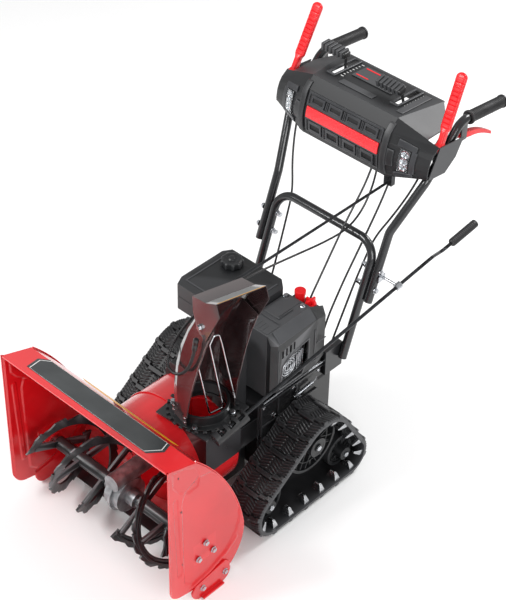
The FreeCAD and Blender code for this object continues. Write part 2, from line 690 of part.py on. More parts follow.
def make_hood():
    """The deflector: two cheeks outside the chute, a short back and a rising roof."""
    inner = CHUTE_LEVELS[-1][4] + 3.6 + HOOD_GAP
    cheeks = []
    for side in (-1, 1):
        wire = Part.makePolygon([V(s, side * inner, z) for s, z in HOOD_CHEEK + HOOD_CHEEK[:1]])
        cheeks.append(Part.Face(wire).extrude(V(0, side * CHUTE_SKIN, 0)))
    spine = [(75.0, 822.0), (73.0, 870.0), (137.0, 893.0), (187.0, 925.0)]
    spine += [(188.0, 923.2), (138.0, 891.2), (75.2, 868.6), (77.0, 822.0)]
    wire = Part.makePolygon([V(s, -inner, z) for s, z in spine + spine[:1]])
    roof = Part.Face(wire).extrude(V(0, 2 * inner, 0))
    hood = joined(roof, *cheeks)
    s, z = HOOD_PIVOT
    hood = hood.cut(rod((s, -90, z), (s, 90, z), PIVOT_PIN + RUN_GAP))
    add("deflector_hood", turned_chute(hood))
    pins = []
    half = CHUTE_LEVELS[-1][4]
    for side in (-1, 1):
        shank = rod((s, side * (half - 0.4), z), (s, side * (inner + 4), z), PIVOT_PIN)
        head = hex_bolt((s, side * (inner + CHUTE_SKIN + 0.6), z), (0, side, 0), 13.0, 6.0, 9.0)
        pins.append(turned_chute(joined(shank, head)))
    chute = NODES["chute"]
    add("chute_bolts", *NODES["chute_bolts"], *[pin.cut(chute) for pin in pins])


# --- crank ---------------------------------------------------------------------------------------
def crank_frame():
    """Directions across the crank rod: the arm's own, square to the rod."""
    wanted = V(0.52, -0.564, 0.641)
    arm = wanted - CRANK_AXIS * wanted.dot(CRANK_AXIS)
    return arm.normalize()


def make_crank():
    arm = crank_frame()
    eye_at = (V(*EYE) - WORM_AT).Length
    elbow = WORM_AT + CRANK_AXIS * (eye_at + CRANK_REACH)
    turn_out = elbow + arm * CRANK_ARM
    pin_end = turn_out + CRANK_AXIS * (CRANK_PIN + CRANK_GRIP_LENGTH - 6)
    points = [along_crank(-48), tuple(elbow), tuple(turn_out), tuple(pin_end)]
    bar, _ = bent_bar(points, CRANK_ROD_RADIUS, 14.0)
    pitch = 2 * math.pi * WORM_CONTACT / RING_SLOTS
    lead = pitch / math.cos(math.asin(CRANK_AXIS.z))
    coil = worm_ridge(WORM_RADIUS, WORM_WIRE, lead, 2.2 * lead, 0.0)
    coil.rotate(V(0, 0, 0), V(0, 0, 1), math.degrees(coil_phase()))
    spin = Rotation(V(0, 0, 1), CRANK_AXIS)
    coil.Placement = FreeCAD.Placement(WORM_AT, spin).multiply(coil.Placement)
    for step in (-1.04, 1.04):
        angle = 2 * math.pi * step + coil_phase()
        tip = spin.multVec(V(math.cos(angle), math.sin(angle), 0)) * WORM_RADIUS
        centre = WORM_AT + CRANK_AXIS * (step * lead)
        coil = coil.fuse(rod(tuple(centre), tuple(centre + tip), WORM_WIRE - 0.8))
    straight = rod(along_crank(-60), along_crank(60), CRANK_ROD_RADIUS)
    add("crank_rod", bar, coil.cut(straight))

    grip_from = turn_out + CRANK_AXIS * CRANK_PIN
    grip_to = grip_from + CRANK_AXIS * CRANK_GRIP_LENGTH
    grip = rod(tuple(grip_from), tuple(grip_to), 12.0)
    bore = rod(tuple(grip_from - CRANK_AXIS), tuple(pin_end + CRANK_AXIS * 1.0),
               CRANK_ROD_RADIUS + RUN_GAP)
    add("crank_grip", grip.cut(bore))


def coil_phase():
    """The angle about the rod, from its own zero, at which the coil faces the ring's centre."""
    spin = Rotation(V(0, 0, 1), CRANK_AXIS)
    inward = V(CHUTE_X - WORM_AT.x, CHUTE_Y - WORM_AT.y, 0).normalize()
    zero = spin.multVec(V(1, 0, 0))
    quarter = spin.multVec(V(0, 1, 0))
    return math.atan2(inward.dot(quarter), inward.dot(zero))


def make_eye():
    """The eye that steadies the crank rod, on a stem from the left handle."""
    centre = V(*EYE)
    a = centre - CRANK_AXIS * 9
    b = centre + CRANK_AXIS * 9
    ring = rod(tuple(a), tuple(b), 10.0)
    stem_start = UPPER_X + HANDLE_TUBE
    stem = rod((stem_start, EYE[1], EYE[2]), (EYE[0], EYE[1], EYE[2]), 4.0)
    handle_y = UPPER_FOOT[0] + (EYE[2] - UPPER_FOOT[1]) * (
        (UPPER_BEND[0] - UPPER_FOOT[0]) / (UPPER_BEND[1] - UPPER_FOOT[1]))
    tab = box((stem_start, stem_start + 5), (handle_y - 8, EYE[1] + 8), (EYE[2] - 9, EYE[2] + 9))
    eye = joined(ring, stem, tab)
    bore = rod(along_crank(0), tuple(b + CRANK_AXIS * 5), CRANK_ROD_RADIUS + RUN_GAP)
    add("crank_eye", eye.cut(bore))


# --- chassis and engine --------------------------------------------------------------------------
def make_chassis():
    outer = box((-CHASSIS_HALF, CHASSIS_HALF), (CHASSIS_FRONT, CHASSIS_REAR),
                (CHASSIS_BOTTOM, DECK_Z))
    inner = box((-CHASSIS_HALF + SHEET, CHASSIS_HALF - SHEET),
                (CHASSIS_FRONT + SHEET, CHASSIS_REAR - SHEET), (CHASSIS_BOTTOM - 5, DECK_Z - SHEET))
    body = outer.cut(inner)
    rails = []
    for side in (-1, 1):
        low, high = sorted((side * 112.0, side * 147.0))
        if side < 0:
            low, high = -147.0, -128.0
        rails.append(box((low, high), (DRUM_REAR + SHEET, CHASSIS_FRONT), (210.0, 285.0)))
    ears = []
    for side in (-1, 1):
        low, high = sorted((side * CHASSIS_HALF, side * (LOWER_X - HANDLE_TUBE)))
        foot_y, foot_z = LOWER_FOOT
        ear = box((low, high), (CHASSIS_REAR - 44, foot_y + 14), (DECK_Z - 40, foot_z + 44))
        ears.append(ear)
        low, high = sorted((side * (CHASSIS_HALF - SHEET), side * CHASSIS_HALF))
        ears.append(box((low, high), (CHASSIS_REAR - 44, foot_y + 14), (DECK_Z - 40, foot_z + 44)))
    y, z, _ = DRIVE_WHEEL
    axle = rod((-200, y, z), (200, y, z), AXLE_RADIUS + RUN_GAP)
    body = joined(body, *rails, *ears).cut(axle)
    add("chassis", body)


def make_belt_cover():
    """A folded black cover over the belts, open to the chassis behind it."""
    outline = [(-124, 64), (105, 64), (105, 548), (-66, 548), (-66, 468), (-124, 352)]
    front = DRUM_REAR + SHEET + 4
    rear = CHASSIS_FRONT - 1
    step_y = CHUTE_Y + RING_RADIUS + 2.5
    step_z = RING_Z - 10
    cover = front_plate(outline, front, rear)
    cover = cover.cut(box((-200, 200), (front - 1, step_y), (step_z, 600)))
    inside = [(-121, 67), (102, 67), (102, 545), (-63, 545), (-63, 467), (-121, 351)]
    room = front_plate(inside, front + SHEET, rear + 5)
    room = room.cut(box((-200, 200), (front, step_y + SHEET), (step_z - SHEET, 600)))
    cover = cover.cut(room)
    hole = rod((0, front - 5, IMPELLER_Z), (0, front + 10, IMPELLER_Z), SHAFT_RADIUS + 2)
    add("belt_cover", cover.cut(hole))


def make_engine():
    case = box((-96, 58), (505, 648), (DECK_Z, 490))
    barrel = box((58, 112), (548, 640), (352, 474))
    fins = [box((60 + 8 * k, 64 + 8 * k), (540, 648), (345, 482)) for k in range(6)]
    bore = rod((0, 500, CRANKSHAFT_Z), (0, SHROUD_FRONT + 42, CRANKSHAFT_Z),
               SHAFT_RADIUS + RUN_GAP)
    add("engine_block", joined(case, barrel, *fins).cut(bore))

    guard = box((118, 160), (556, 664), (372, 456))
    guard = guard.makeFillet(9.0, [e for e in guard.Edges if abs(e.Vertexes[0].X - 160) < 1
                                   and abs(e.Vertexes[-1].X - 160) < 1])
    inner = box((116, 156), (562, 658), (380, 448))
    add("muffler_guard", guard.cut(inner))

    shell = box((SHROUD_INNER, SHROUD_OUTER), (SHROUD_FRONT, SHROUD_REAR), (345, COVER_TOP))
    room = box((SHROUD_INNER - 5, SHROUD_OUTER + 5), (SHROUD_FRONT + 3, SHROUD_REAR - 3),
               (340, COVER_TOP - 3))
    top_plate = box((SHROUD_INNER, SHROUD_OUTER), (SHROUD_FRONT, SHROUD_REAR),
                    (COVER_TOP - 3, COVER_TOP))
    shroud = joined(shell.cut(room), top_plate)
    panel = box((SHROUD_INNER, SHROUD_OUTER), (SHROUD_REAR, SHROUD_REAR + 44), (534, 540))
    lip = box((SHROUD_INNER, SHROUD_OUTER), (SHROUD_REAR + 38, SHROUD_REAR + 44), (470, 534))
    add("engine_shroud", joined(shroud, panel, lip))

    drop = SIDE_COVER_OUTER - SHROUD_OUTER
    outer = [V(SHROUD_OUTER, 0, COVER_TOP), V(SIDE_COVER_OUTER, 0, COVER_TOP - drop),
             V(SIDE_COVER_OUTER, 0, 372), V(SHROUD_OUTER, 0, 346)]
    rings = []
    for y, inset in ((SHROUD_FRONT, 14.0), (SHROUD_FRONT + 14, 0.0), (700.0, 0.0), (752.0, 16.0)):
        fall = 26.0 if y > 740 else 0.0
        rings.append([V(p.x - (inset if p.x > SHROUD_OUTER else 0.0), y,
                        p.z - (fall if p.z > 500 else 0.0)) for p in outer])
    solid = skinned(rings)
    core = solid.copy()
    core.translate(V(-3.0, 0, 0))
    slim = box((SHROUD_OUTER - 9, SIDE_COVER_OUTER + 9), (SHROUD_FRONT + 3, 748), (349, 560))
    cover = solid.cut(core.common(slim))
    window = side_plate([(556, 380), (566, 452), (610, 476), (664, 486), (664, 420), (640, 380)],
                        SHROUD_OUTER - 2, SIDE_COVER_OUTER + 2)
    cover = cover.cut(window)
    for k in range(4):
        slit = box((SHROUD_OUTER + 8, SIDE_COVER_OUTER + 2), (560 + 15 * k, 567 + 15 * k),
                   (482 + 2 * k, 508 + 2 * k))
        cover = cover.cut(slit)
    add("side_cover", sorted(cover.Solids, key=lambda s: s.Volume)[-1])


def make_tank():
    outline = [(-160, 500), (-174, 530), (-174, 690), (-158, 715), (30, 715), (58, 690), (58, 524),
               (40, 500)]
    inside = [(-158, 503), (-171, 531), (-171, 689), (-156.5, 712), (28.8, 712), (55, 688.5),
              (55, 525), (38.5, 503)]
    tank = flat_plate(outline, TANK_BOTTOM, TANK_TOP)
    tank = tank.cut(flat_plate(inside, TANK_BOTTOM + 3, TANK_TOP - 3))
    neck = tube((CAP_X, CAP_Y, TANK_TOP - 20), (CAP_X, CAP_Y, TANK_TOP + 6), 19.0, 16.0)
    mouth = rod((CAP_X, CAP_Y, TANK_TOP - 10), (CAP_X, CAP_Y, TANK_TOP + 5), 16.0)
    add("fuel_tank", joined(tank, neck).cut(mouth))
    cap = rod((CAP_X, CAP_Y, TANK_TOP + 1), (CAP_X, CAP_Y, TANK_TOP + 20), 28.0)
    cap = cap.cut(rod((CAP_X, CAP_Y, TANK_TOP), (CAP_X, CAP_Y, TANK_TOP + 7), 19.3))
    lug = box((CAP_X - 26, CAP_X + 26), (CAP_Y - 4, CAP_Y + 4), (TANK_TOP + 19, TANK_TOP + 27))
    add("fuel_cap", joined(cap, lug))


def make_recoil():
    cup = rod((-12, 650, CRANKSHAFT_Z), (-12, 706, CRANKSHAFT_Z), 92.0)
    cup = cup.cut(rod((-12, 645, CRANKSHAFT_Z), (-12, 700, CRANKSHAFT_Z), 88.0))
    spout = box((-64, -36), (700, 712), (372, 396))
    cup = cup.cut(box((-200, 200), (640, 720), (TANK_BOTTOM, 600)))
    cup = cup.cut(box((SHROUD_INNER - 1, 200), (640, 720), (300, 600)))
    add("recoil_housing", joined(cup, spout))
    pull = rod((-50, 713, 384), (-50, 724, 384), 7.0)
    bar = rod((-88, 728, 384), (-12, 728, 384), 9.0)
    add("recoil_handle", joined(pull, bar))

    knob = rod((92, 722, 540.3), (92, 722, 566), 14.0)
    crown = rod((92, 722, 566), (92, 722, 578), 16.0)
    add("fuel_knob", joined(knob, crown))
    x, y = CHOKE
    dial = rod((x, y, 540.3), (x, y, 552), 16.0)
    wings = [box((x - 16, x + 16), (y - 3, y + 3), (551, 566)),
             box((x - 3, x + 3), (y - 16, y + 16), (551, 566))]
    add("choke_dial", joined(dial, *wings))


# --- tracks --------------------------------------------------------------------------------------
def tangent_hull(circles):
    """Points and arcs round three circles (y, z, r) given clockwise seen from the left."""
    stops = []
    count = len(circles)
    joints = []
    for k in range(count):
        y1, z1, r1 = circles[k]
        y2, z2, r2 = circles[(k + 1) % count]
        dy = y2 - y1
        dz = z2 - z1
        reach = math.hypot(dy, dz)
        lean = math.atan2(dz, dy) + math.acos((r1 - r2) / reach)
        joints.append(((y1 + r1 * math.cos(lean), z1 + r1 * math.sin(lean)),
                       (y2 + r2 * math.cos(lean), z2 + r2 * math.sin(lean))))
    for k in range(count):
        y, z, r = circles[k]
        come = joints[k - 1][1]
        leave = joints[k][0]
        a = math.atan2(come[1] - z, come[0] - y)
        b = math.atan2(leave[1] - z, leave[0] - y)
        while b > a:
            b -= 2 * math.pi
        mid = (a + b) / 2
        stops.append((come, (y + r * math.cos(mid), z + r * math.sin(mid)), leave, (y, z, r), a, b))
    return stops


def track_circles(inset):
    return [(y, z, r - inset) for y, z, r in (FRONT_IDLER, DRIVE_WHEEL, REAR_IDLER)]


def track_loop(inset, x_low, x_high):
    stops = tangent_hull(track_circles(inset))
    points = [stops[0][0]]
    for come, mid, leave, _, _, _ in stops:
        if points[-1] != come:
            points.append(come)
        points.append((mid, leave))
    return side_plate(points, x_low, x_high)


def track_places(inset, pitch):
    """Evenly spaced (y, z, outward angle) round the belt at some depth, and their number."""
    stops = tangent_hull(track_circles(inset))
    runs = []
    for k, (come, _, leave, circle, a, b) in enumerate(stops):
        following = stops[(k + 1) % len(stops)][0]
        runs.append(("arc", circle, a, b, circle[2] * (a - b)))
        runs.append(("line", leave, following, b, math.dist(leave, following)))
    total = sum(run[-1] for run in runs)
    number = round(total / pitch)
    places = []
    for k in range(number):
        left = k * total / number
        for run in runs:
            if left > run[-1]:
                left -= run[-1]
                continue
            share = left / run[-1]
            if run[0] == "arc":
                y, z, r = run[1]
                angle = run[2] + (run[3] - run[2]) * share
                places.append((y + r * math.cos(angle), z + r * math.sin(angle), angle))
            else:
                y = run[1][0] + (run[2][0] - run[1][0]) * share
                z = run[1][1] + (run[2][1] - run[1][1]) * share
                places.append((y, z, run[3]))
            break
    return places


def track_belt():
    """The rubber belt with a bar across it at each pitch and an inner fin under each bar."""
    x_high = TRACK_INNER + TRACK_WIDTH
    belt = track_loop(0.0, TRACK_INNER, x_high).cut(
        track_loop(TRACK_SKIN, TRACK_INNER - 1, x_high + 1))
    extras = []
    for y, z, angle in track_places(0.0, LUG_PITCH):
        bar = box((TRACK_INNER, x_high + 4), (-1.5, LUG_HEIGHT), (-LUG_THICK / 2, LUG_THICK / 2))
        bar.rotate(V(0, 0, 0), V(1, 0, 0), math.degrees(angle))
        bar.translate(V(0, y, z))
        extras.append(bar)
        fin = box((WHEEL_INNER + WHEEL_WIDTH + 8, x_high - 6),
                  (-TRACK_SKIN - FIN_HEIGHT, -TRACK_SKIN + 1.5), (-4, 4))
        fin.rotate(V(0, 0, 0), V(1, 0, 0), math.degrees(angle))
        fin.translate(V(0, y, z))
        extras.append(fin)
    return joined(belt, *extras)


def spoked_wheel(place, bore, spokes, hub):
    """A wheel that just clears the belt's inside, with flat spokes and a long hub."""
    y, z, outer = place
    radius = outer - TRACK_SKIN - CLEAR
    low = WHEEL_INNER
    high = WHEEL_INNER + WHEEL_WIDTH
    rim = tube((low, y, z), (high, y, z), radius, radius - 9)
    centre = tube((low - 4, y, z), (high + 22, y, z), hub, bore)
    arms = []
    for k in range(spokes):
        arm = box((low + 12, high - 6), (hub - 3, radius - 6), (-4, 4))
        arm.rotate(V(0, 0, 0), V(1, 0, 0), (k + 0.5) * 360 / spokes)
        arm.translate(V(0, y, z))
        arms.append(arm)
    wheel = joined(rim, centre, *arms)
    return wheel


def make_tracks():
    belt = track_belt()
    add("track_belt_left", belt)
    add("track_belt_right", mirrored(belt))

    drive = spoked_wheel(DRIVE_WHEEL, AXLE_RADIUS, 6, 30.0)
    y, z, _ = DRIVE_WHEEL
    end = WHEEL_INNER + WHEEL_WIDTH + 26
    axle = rod((-end, y, z), (end, y, z), AXLE_RADIUS)
    add("drive_wheels", joined(axle, drive, mirrored(drive)))

    for name, place in (("front_idlers", FRONT_IDLER), ("rear_idlers", REAR_IDLER)):
        wheel = spoked_wheel(place, IDLER_PIN_RADIUS + RUN_GAP, 5, 20.0)
        add(name, wheel, mirrored(wheel))

    x_low = TRACK_INNER + 11
    x_high = x_low + 8
    arms = []
    corners = [FRONT_IDLER[:2], REAR_IDLER[:2], DRIVE_WHEEL[:2]]
    for k, (a, b) in enumerate(((0, 1), (1, 2), (2, 0))):
        y1, z1 = corners[a]
        y2, z2 = corners[b]
        length = math.dist(corners[a], corners[b])
        bar = box((x_low, x_high), (0, length), (-13, 13))
        bar.rotate(V(0, 0, 0), V(1, 0, 0), math.degrees(math.atan2(z2 - z1, y2 - y1)))
        bar.translate(V(0, y1, z1))
        arms.append(bar)
    for y1, z1 in corners:
        arms.append(rod((x_low, y1, z1), (x_high, y1, z1), 24.0))
    pins = []
    for y1, z1 in corners[:2]:
        pins.append(rod((x_high - 1, y1, z1), (WHEEL_INNER + WHEEL_WIDTH + 28, y1, z1),
                        IDLER_PIN_RADIUS))
    link_y = DRIVE_WHEEL[0]
    frame = joined(arms[0], *arms[1:], *pins)
    frame = frame.cut(rod((100, link_y, DRIVE_WHEEL[1]), (300, link_y, DRIVE_WHEEL[1]),
                          AXLE_RADIUS + RUN_GAP))
    stay = box((CHASSIS_HALF, x_low), (link_y - 60, link_y - 36), (DRIVE_WHEEL[1] - 58,
                                                                  DRIVE_WHEEL[1] - 34))
    frame = joined(frame, stay)
    add("track_frames", frame, mirrored(frame))


# --- handles -------------------------------------------------------------------------------------
def make_handles():
    foot_y, foot_z = LOWER_FOOT
    top_y, top_z = LOWER_CORNER
    frame, _ = bent_bar([(LOWER_X, foot_y, foot_z), (LOWER_X, top_y, top_z),
                         (-LOWER_X, top_y, top_z), (-LOWER_X, foot_y, foot_z)],
                        HANDLE_TUBE, 58.0, HANDLE_TUBE - 2)
    add("lower_handle", frame)
    upper, _ = bent_bar([(UPPER_X,) + UPPER_FOOT, (UPPER_X,) + UPPER_BEND, UPPER_DASH, UPPER_TOP,
                         GRIP_END], HANDLE_TUBE, 55.0, HANDLE_TUBE - 2)
    add("upper_handles", upper, mirrored(upper))

    a = V(*GRIP_START)
    b = V(*GRIP_END)
    aim = (b - a).normalize()
    end = b + aim * 5
    grip = rod(tuple(a), tuple(end), GRIP_RADIUS)
    flare = rod(tuple(a), tuple(a + aim * 8), GRIP_RADIUS + 3)
    cap = rod(tuple(b - aim * 3), tuple(end), GRIP_RADIUS + 2)
    line = (V(*GRIP_END) - V(*UPPER_TOP)).normalize()
    bore = rod(tuple(b - line * 190), tuple(b), HANDLE_TUBE)
    grip = joined(grip, flare, cap).cut(bore)
    add("handle_grips", grip, mirrored(grip))


def handle_y(z):
    """Where the clamped stretch of the handles is, at some height."""
    lower = LOWER_FOOT[0] + (z - LOWER_FOOT[1]) * (
        (LOWER_CORNER[0] - LOWER_FOOT[0]) / (LOWER_CORNER[1] - LOWER_FOOT[1]))
    upper = UPPER_FOOT[0] + (z - UPPER_FOOT[1]) * (
        (UPPER_BEND[0] - UPPER_FOOT[0]) / (UPPER_BEND[1] - UPPER_FOOT[1]))
    return (lower + upper) / 2


def make_bolts():
    """Every hex bolt that holds a fixed piece, as heads on their washers."""
    bolts = []
    face = HALF
    for y, z in ((AUGER_Y - 27, AUGER_Z - 14), (AUGER_Y + 28, AUGER_Z - 18),
                 (AUGER_Y, AUGER_Z + 30)):
        bolts.append(hex_bolt((face, y, z), (1, 0, 0)))
        bolts.append(hex_bolt((-face, y, z), (-1, 0, 0)))
    for y, z in ((SKID_REAR - 22, 36.0), (SKID_REAR - 106, 37.0)):
        bolts.append(hex_bolt((face + SKID_THICK, y, z), (1, 0, 0)))
        bolts.append(hex_bolt((-face - SKID_THICK, y, z), (-1, 0, 0)))
    for x in (SHROUD_INNER + 10, SHROUD_OUTER - 16):
        bolts.append(hex_bolt((x, SHROUD_REAR - 14, COVER_TOP), (0, 0, 1), 11.0, 5.0, 8.0))
    bolts.append(hex_bolt((105, 470, 538), (1, 0, 0), 10.0, 5.0, 7.0))
    for side in (-1, 1):
        for z in (550.0, 602.0):
            y = handle_y(z)
            inner = side * (LOWER_X - HANDLE_TUBE)
            outer = side * (UPPER_X + HANDLE_TUBE)
            bolts.append(hex_bolt((inner, y, z), (-side, 0, 0), 13.0, 12.0, 9.0))
            bolts.append(hex_bolt((outer, y, z), (side, 0, 0), 13.0, 6.0, 9.0))
    add("hex_bolts", *bolts)


# --- dash ----------------------------------------------------------------------------------------
MID_SECTION = ((1000.0, 850.0), (982.0, 857.0), (973.0, 881.0), (970.0, 922.0), (971.0, 934.0),
               (979.0, 968.0), (990.0, 998.0), (1019.0, 1026.0))
END_SECTION = ((1030.0, 886.0), (1006.0, 893.0), (1005.0, 902.0), (1007.0, 918.0),
               (1009.0, 930.0), (1016.0, 948.0), (1026.0, 962.0), (1046.0, 976.0))


def bezel_point(x, share, lift=0.0):
    """A point on the front of the dash: across at x, and at some share along its section."""
    blend = max(0.0, (abs(x) - DASH_MID) / (DASH_END - DASH_MID))
    place = share * (len(MID_SECTION) - 1)
    low = min(int(place), len(MID_SECTION) - 2)
    part = place - low

    def at(section):
        return tuple(p + (q - p) * part for p, q in zip(section[low], section[low + 1]))

    mid = at(MID_SECTION)
    end = at(END_SECTION)
    y, z = (m + (e - m) * blend for m, e in zip(mid, end))
    return V(x, y - lift, z)


def bezel_patch(bezel, corners, thick, side=1):
    """A plate on the front of the dash through (x, share) corners, standing out by thick."""
    patch = skinned([[bezel_point(side * x, s, -2.6) for x, s in corners],
                     [bezel_point(side * x, s, thick) for x, s in corners]])
    return sorted(patch.cut(bezel).Solids, key=lambda s: s.Volume)[-1]


def dash_ring(section, x):
    outer = [V(x, y, z) for y, z in section]
    heart = (1075.0, 930.0)
    inner = [V(x, *pulled_in(p, heart, DASH_SKIN)) for p in section]
    return outer + inner[::-1]


def make_dash():
    bezel = skinned([dash_ring(END_SECTION, -DASH_END), dash_ring(MID_SECTION, -DASH_MID),
                     dash_ring(MID_SECTION, DASH_MID), dash_ring(END_SECTION, DASH_END)])
    cheek = side_plate([(1009, 889), (1049, 974), (1150, 962), (1122, 912), (1080, 880)],
                       DASH_END, DASH_END + DASH_SKIN)
    bezel = joined(bezel, cheek, mirrored(cheek))
    add("dash_bezel", bezel)

    ridge = MID_SECTION[-1]
    corner = END_SECTION[-1]
    centre = [V(-DASH_MID, ridge[0] + 0.5, ridge[1]), V(DASH_MID, ridge[0] + 0.5, ridge[1]),
              V(175, DASH_REAR, DASH_REAR_Z), V(-175, DASH_REAR, DASH_REAR_Z)]
    drop = V(0, 0, -DASH_SKIN)
    top = skinned([centre, [p + drop for p in centre]])
    for side in (-1, 1):
        wing = [V(side * DASH_MID, ridge[0] + 0.5, ridge[1]),
                V(side * DASH_END, corner[0] + 0.5, corner[1]),
                V(side * (DASH_END - 4), corner[0] + 44, corner[1] + 2),
                V(side * 175, DASH_REAR, DASH_REAR_Z)]
        top = top.fuse(skinned([wing, [p + drop for p in wing]]))
    skirt = front_plate([(-175, DASH_REAR_Z), (175, DASH_REAR_Z), (168, DASH_REAR_Z - 46),
                         (-168, DASH_REAR_Z - 46)], DASH_REAR, DASH_REAR + DASH_SKIN)
    top = top.fuse(skirt)
    for x, y_low, y_high in ((SHIFT_X, 1066.0, 1174.0), (PITCH_X, 1072.0, 1172.0)):
        top = top.cut(box((x - 9, x + 9), (y_low, y_high), (900, 1100)))
    lever_gap = [box((side * LEVER_PIVOT[0] - 24, side * LEVER_PIVOT[0] + 24),
                     (LEVER_PIVOT[1] - 26, LEVER_PIVOT[1] + 120), (900, 1040)) for side in (-1, 1)]
    for gap in lever_gap:
        top = top.cut(gap)
    top = top.cut(bezel).removeSplitter()
    add("dash_top", sorted(top.Solids, key=lambda s: s.Volume)[-1])

    upper = [(-128, 0.74), (128, 0.74), (124, 0.84), (-124, 0.84)]
    lower = [(-122, 0.24), (122, 0.24), (128, 0.4), (-128, 0.4)]
    badge = [(-131, 0.42), (131, 0.42), (131, 0.71), (-131, 0.71)]
    plates = ((upper, 4.0), (badge, 5.0), (lower, 4.0))
    add("dash_panels", *[bezel_patch(bezel, corners, thick) for corners, thick in plates])
    lamp = [(182, 0.3), (214, 0.38), (214, 0.7), (182, 0.8)]
    add("headlamps", bezel_patch(bezel, lamp, 4.0), bezel_patch(bezel, lamp, 4.0, -1))


# --- levers --------------------------------------------------------------------------------------
SHIFT_X = -121.0
SHIFT_Y = 1119.0
PITCH_X = 100.0
PITCH_Y = 1124.0
PITCH_LEAN = 14.0


def clutch_lever():
    """A long flat-backed lever that stands up from its hub in front of the grip."""
    base = V(*LEVER_PIVOT)
    tip = V(*LEVER_TIP)
    up = (tip - base).normalize()
    back = V(1, 0, 0).cross(up).normalize() * -1
    wide = up.cross(back).normalize()
    rings = []
    for share, half_wide, half_deep in ((0.03, 8.5, 11), (0.22, 8.5, 11), (0.32, 14, 11),
                                        (0.9, 14, 11), (1.0, 9, 8)):
        centre = base + (tip - base) * share
        rings.append([centre + wide * half_wide * a + back * half_deep * b
                      for a, b in ((-1, -0.4), (-1, 0.6), (-0.6, 1), (0.6, 1), (1, 0.6),
                                   (1, -0.4), (0.6, -1), (-0.6, -1))])
    hub = rod((base.x - 9, base.y, base.z), (base.x + 9, base.y, base.z), 15.0)
    lever = hub.fuse(skinned(rings)).removeSplitter()
    return lever.cut(rod((base.x - 20, base.y, base.z), (base.x + 20, base.y, base.z),
                         PIVOT_PIN + RUN_GAP))


def trigger():
    """A curved steering trigger below the grip."""
    base = V(*TRIGGER_PIVOT)
    tip = V(*TRIGGER_TIP)
    rings = []
    for k in range(9):
        share = k / 8
        centre = base + (tip - base) * share + V(0, 0, 12 * math.sin(math.pi * share) - 4)
        half = 5.5 if share < 0.2 else 8.5 - 2.5 * share
        deep = 10 - 5 * share
        rings.append([centre + V(a * half, 0, b * deep) for a, b in ((-1, -1), (1, -1), (1, 1),
                                                                     (-1, 1))])
    hub = rod((base.x - 6, base.y, base.z), (base.x + 6, base.y, base.z), 11.0)
    piece = hub.fuse(skinned(rings)).removeSplitter()
    return piece.cut(rod((base.x - 20, base.y, base.z), (base.x + 20, base.y, base.z),
                         PIVOT_PIN + RUN_GAP))


def stick(x, y, lean):
    """A dash lever: a hub, a stem through its slot, and a paddle that points to the right."""
    hub = rod((x - 8, y, STICK_PIVOT_Z), (x + 8, y, STICK_PIVOT_Z), 11.0)
    stem = rod((x, y, STICK_PIVOT_Z), (x, y, STICK_TOP_Z), STICK_RADIUS)
    paddle = box((x - 82, x + 6), (y - 14, y + 14), (STICK_TOP_Z - 4, STICK_TOP_Z + 14))
    paddle = paddle.makeFillet(5.0, paddle.Edges)
    piece = joined(hub, stem, paddle)
    piece = piece.cut(rod((x - 20, y, STICK_PIVOT_Z), (x + 20, y, STICK_PIVOT_Z),
                          PIVOT_PIN + RUN_GAP))
    piece.rotate(V(x, y, STICK_PIVOT_Z), V(1, 0, 0), lean)
    return piece


def make_levers():
    lever = clutch_lever()
    add("clutch_lever_left", lever)
    add("clutch_lever_right", mirrored(lever))
    pull = trigger()
    add("steer_trigger_left", pull)
    add("steer_trigger_right", mirrored(pull))
    add("speed_lever", stick(SHIFT_X, SHIFT_Y, 0.0))
    add("deflector_lever", stick(PITCH_X, PITCH_Y, PITCH_LEAN))

    brackets = []
    x, y, z = LEVER_PIVOT
    pin = rod((x - 17, y, z), (DASH_END, y, z), PIVOT_PIN)
    cheek = side_plate([(y - 12, z - 12), (y + 12, z + 12), (y + 52, z + 4), (y + 30, z - 60),
                        (y, z - 60)], x - 17, x - 14)
    outer_tube = bent_bar([(UPPER_X,) + UPPER_FOOT, (UPPER_X,) + UPPER_BEND, UPPER_DASH, UPPER_TOP,
                           GRIP_END], HANDLE_TUBE, 55.0)[0]
    bracket = joined(cheek, pin).cut(outer_tube)
    bracket = sorted(bracket.Solids, key=lambda s: s.Volume)[-1]
    brackets += [bracket, mirrored(bracket)]
    x, y, z = TRIGGER_PIVOT
    pin = rod((x - 10, y, z), (x + 10, y, z), PIVOT_PIN)
    walls = [box((x + a, x + b), (y - 12, y + 12), (z - 12, z + 38)).cut(outer_tube)
             for a, b in ((-10, -7), (7, 10))]
    walls = [sorted(wall.Solids, key=lambda s: s.BoundBox.ZMin)[0] for wall in walls]
    bracket = joined(pin, *walls)
    brackets += [bracket, mirrored(bracket)]
    posts = []
    for x, y in ((SHIFT_X, SHIFT_Y), (PITCH_X, PITCH_Y)):
        pin = rod((x - 12, y, STICK_PIVOT_Z), (x + 12, y, STICK_PIVOT_Z), PIVOT_PIN)
        wall = box((x + 9, x + 12), (y - 12, y + 12), (STICK_PIVOT_Z - 12, 1014.0))
        posts.append(joined(pin, wall).cut(NODES["dash_top"]))
    brackets += [sorted(p.Solids, key=lambda s: s.Volume)[-1] for p in posts]
    add("lever_brackets", *brackets)


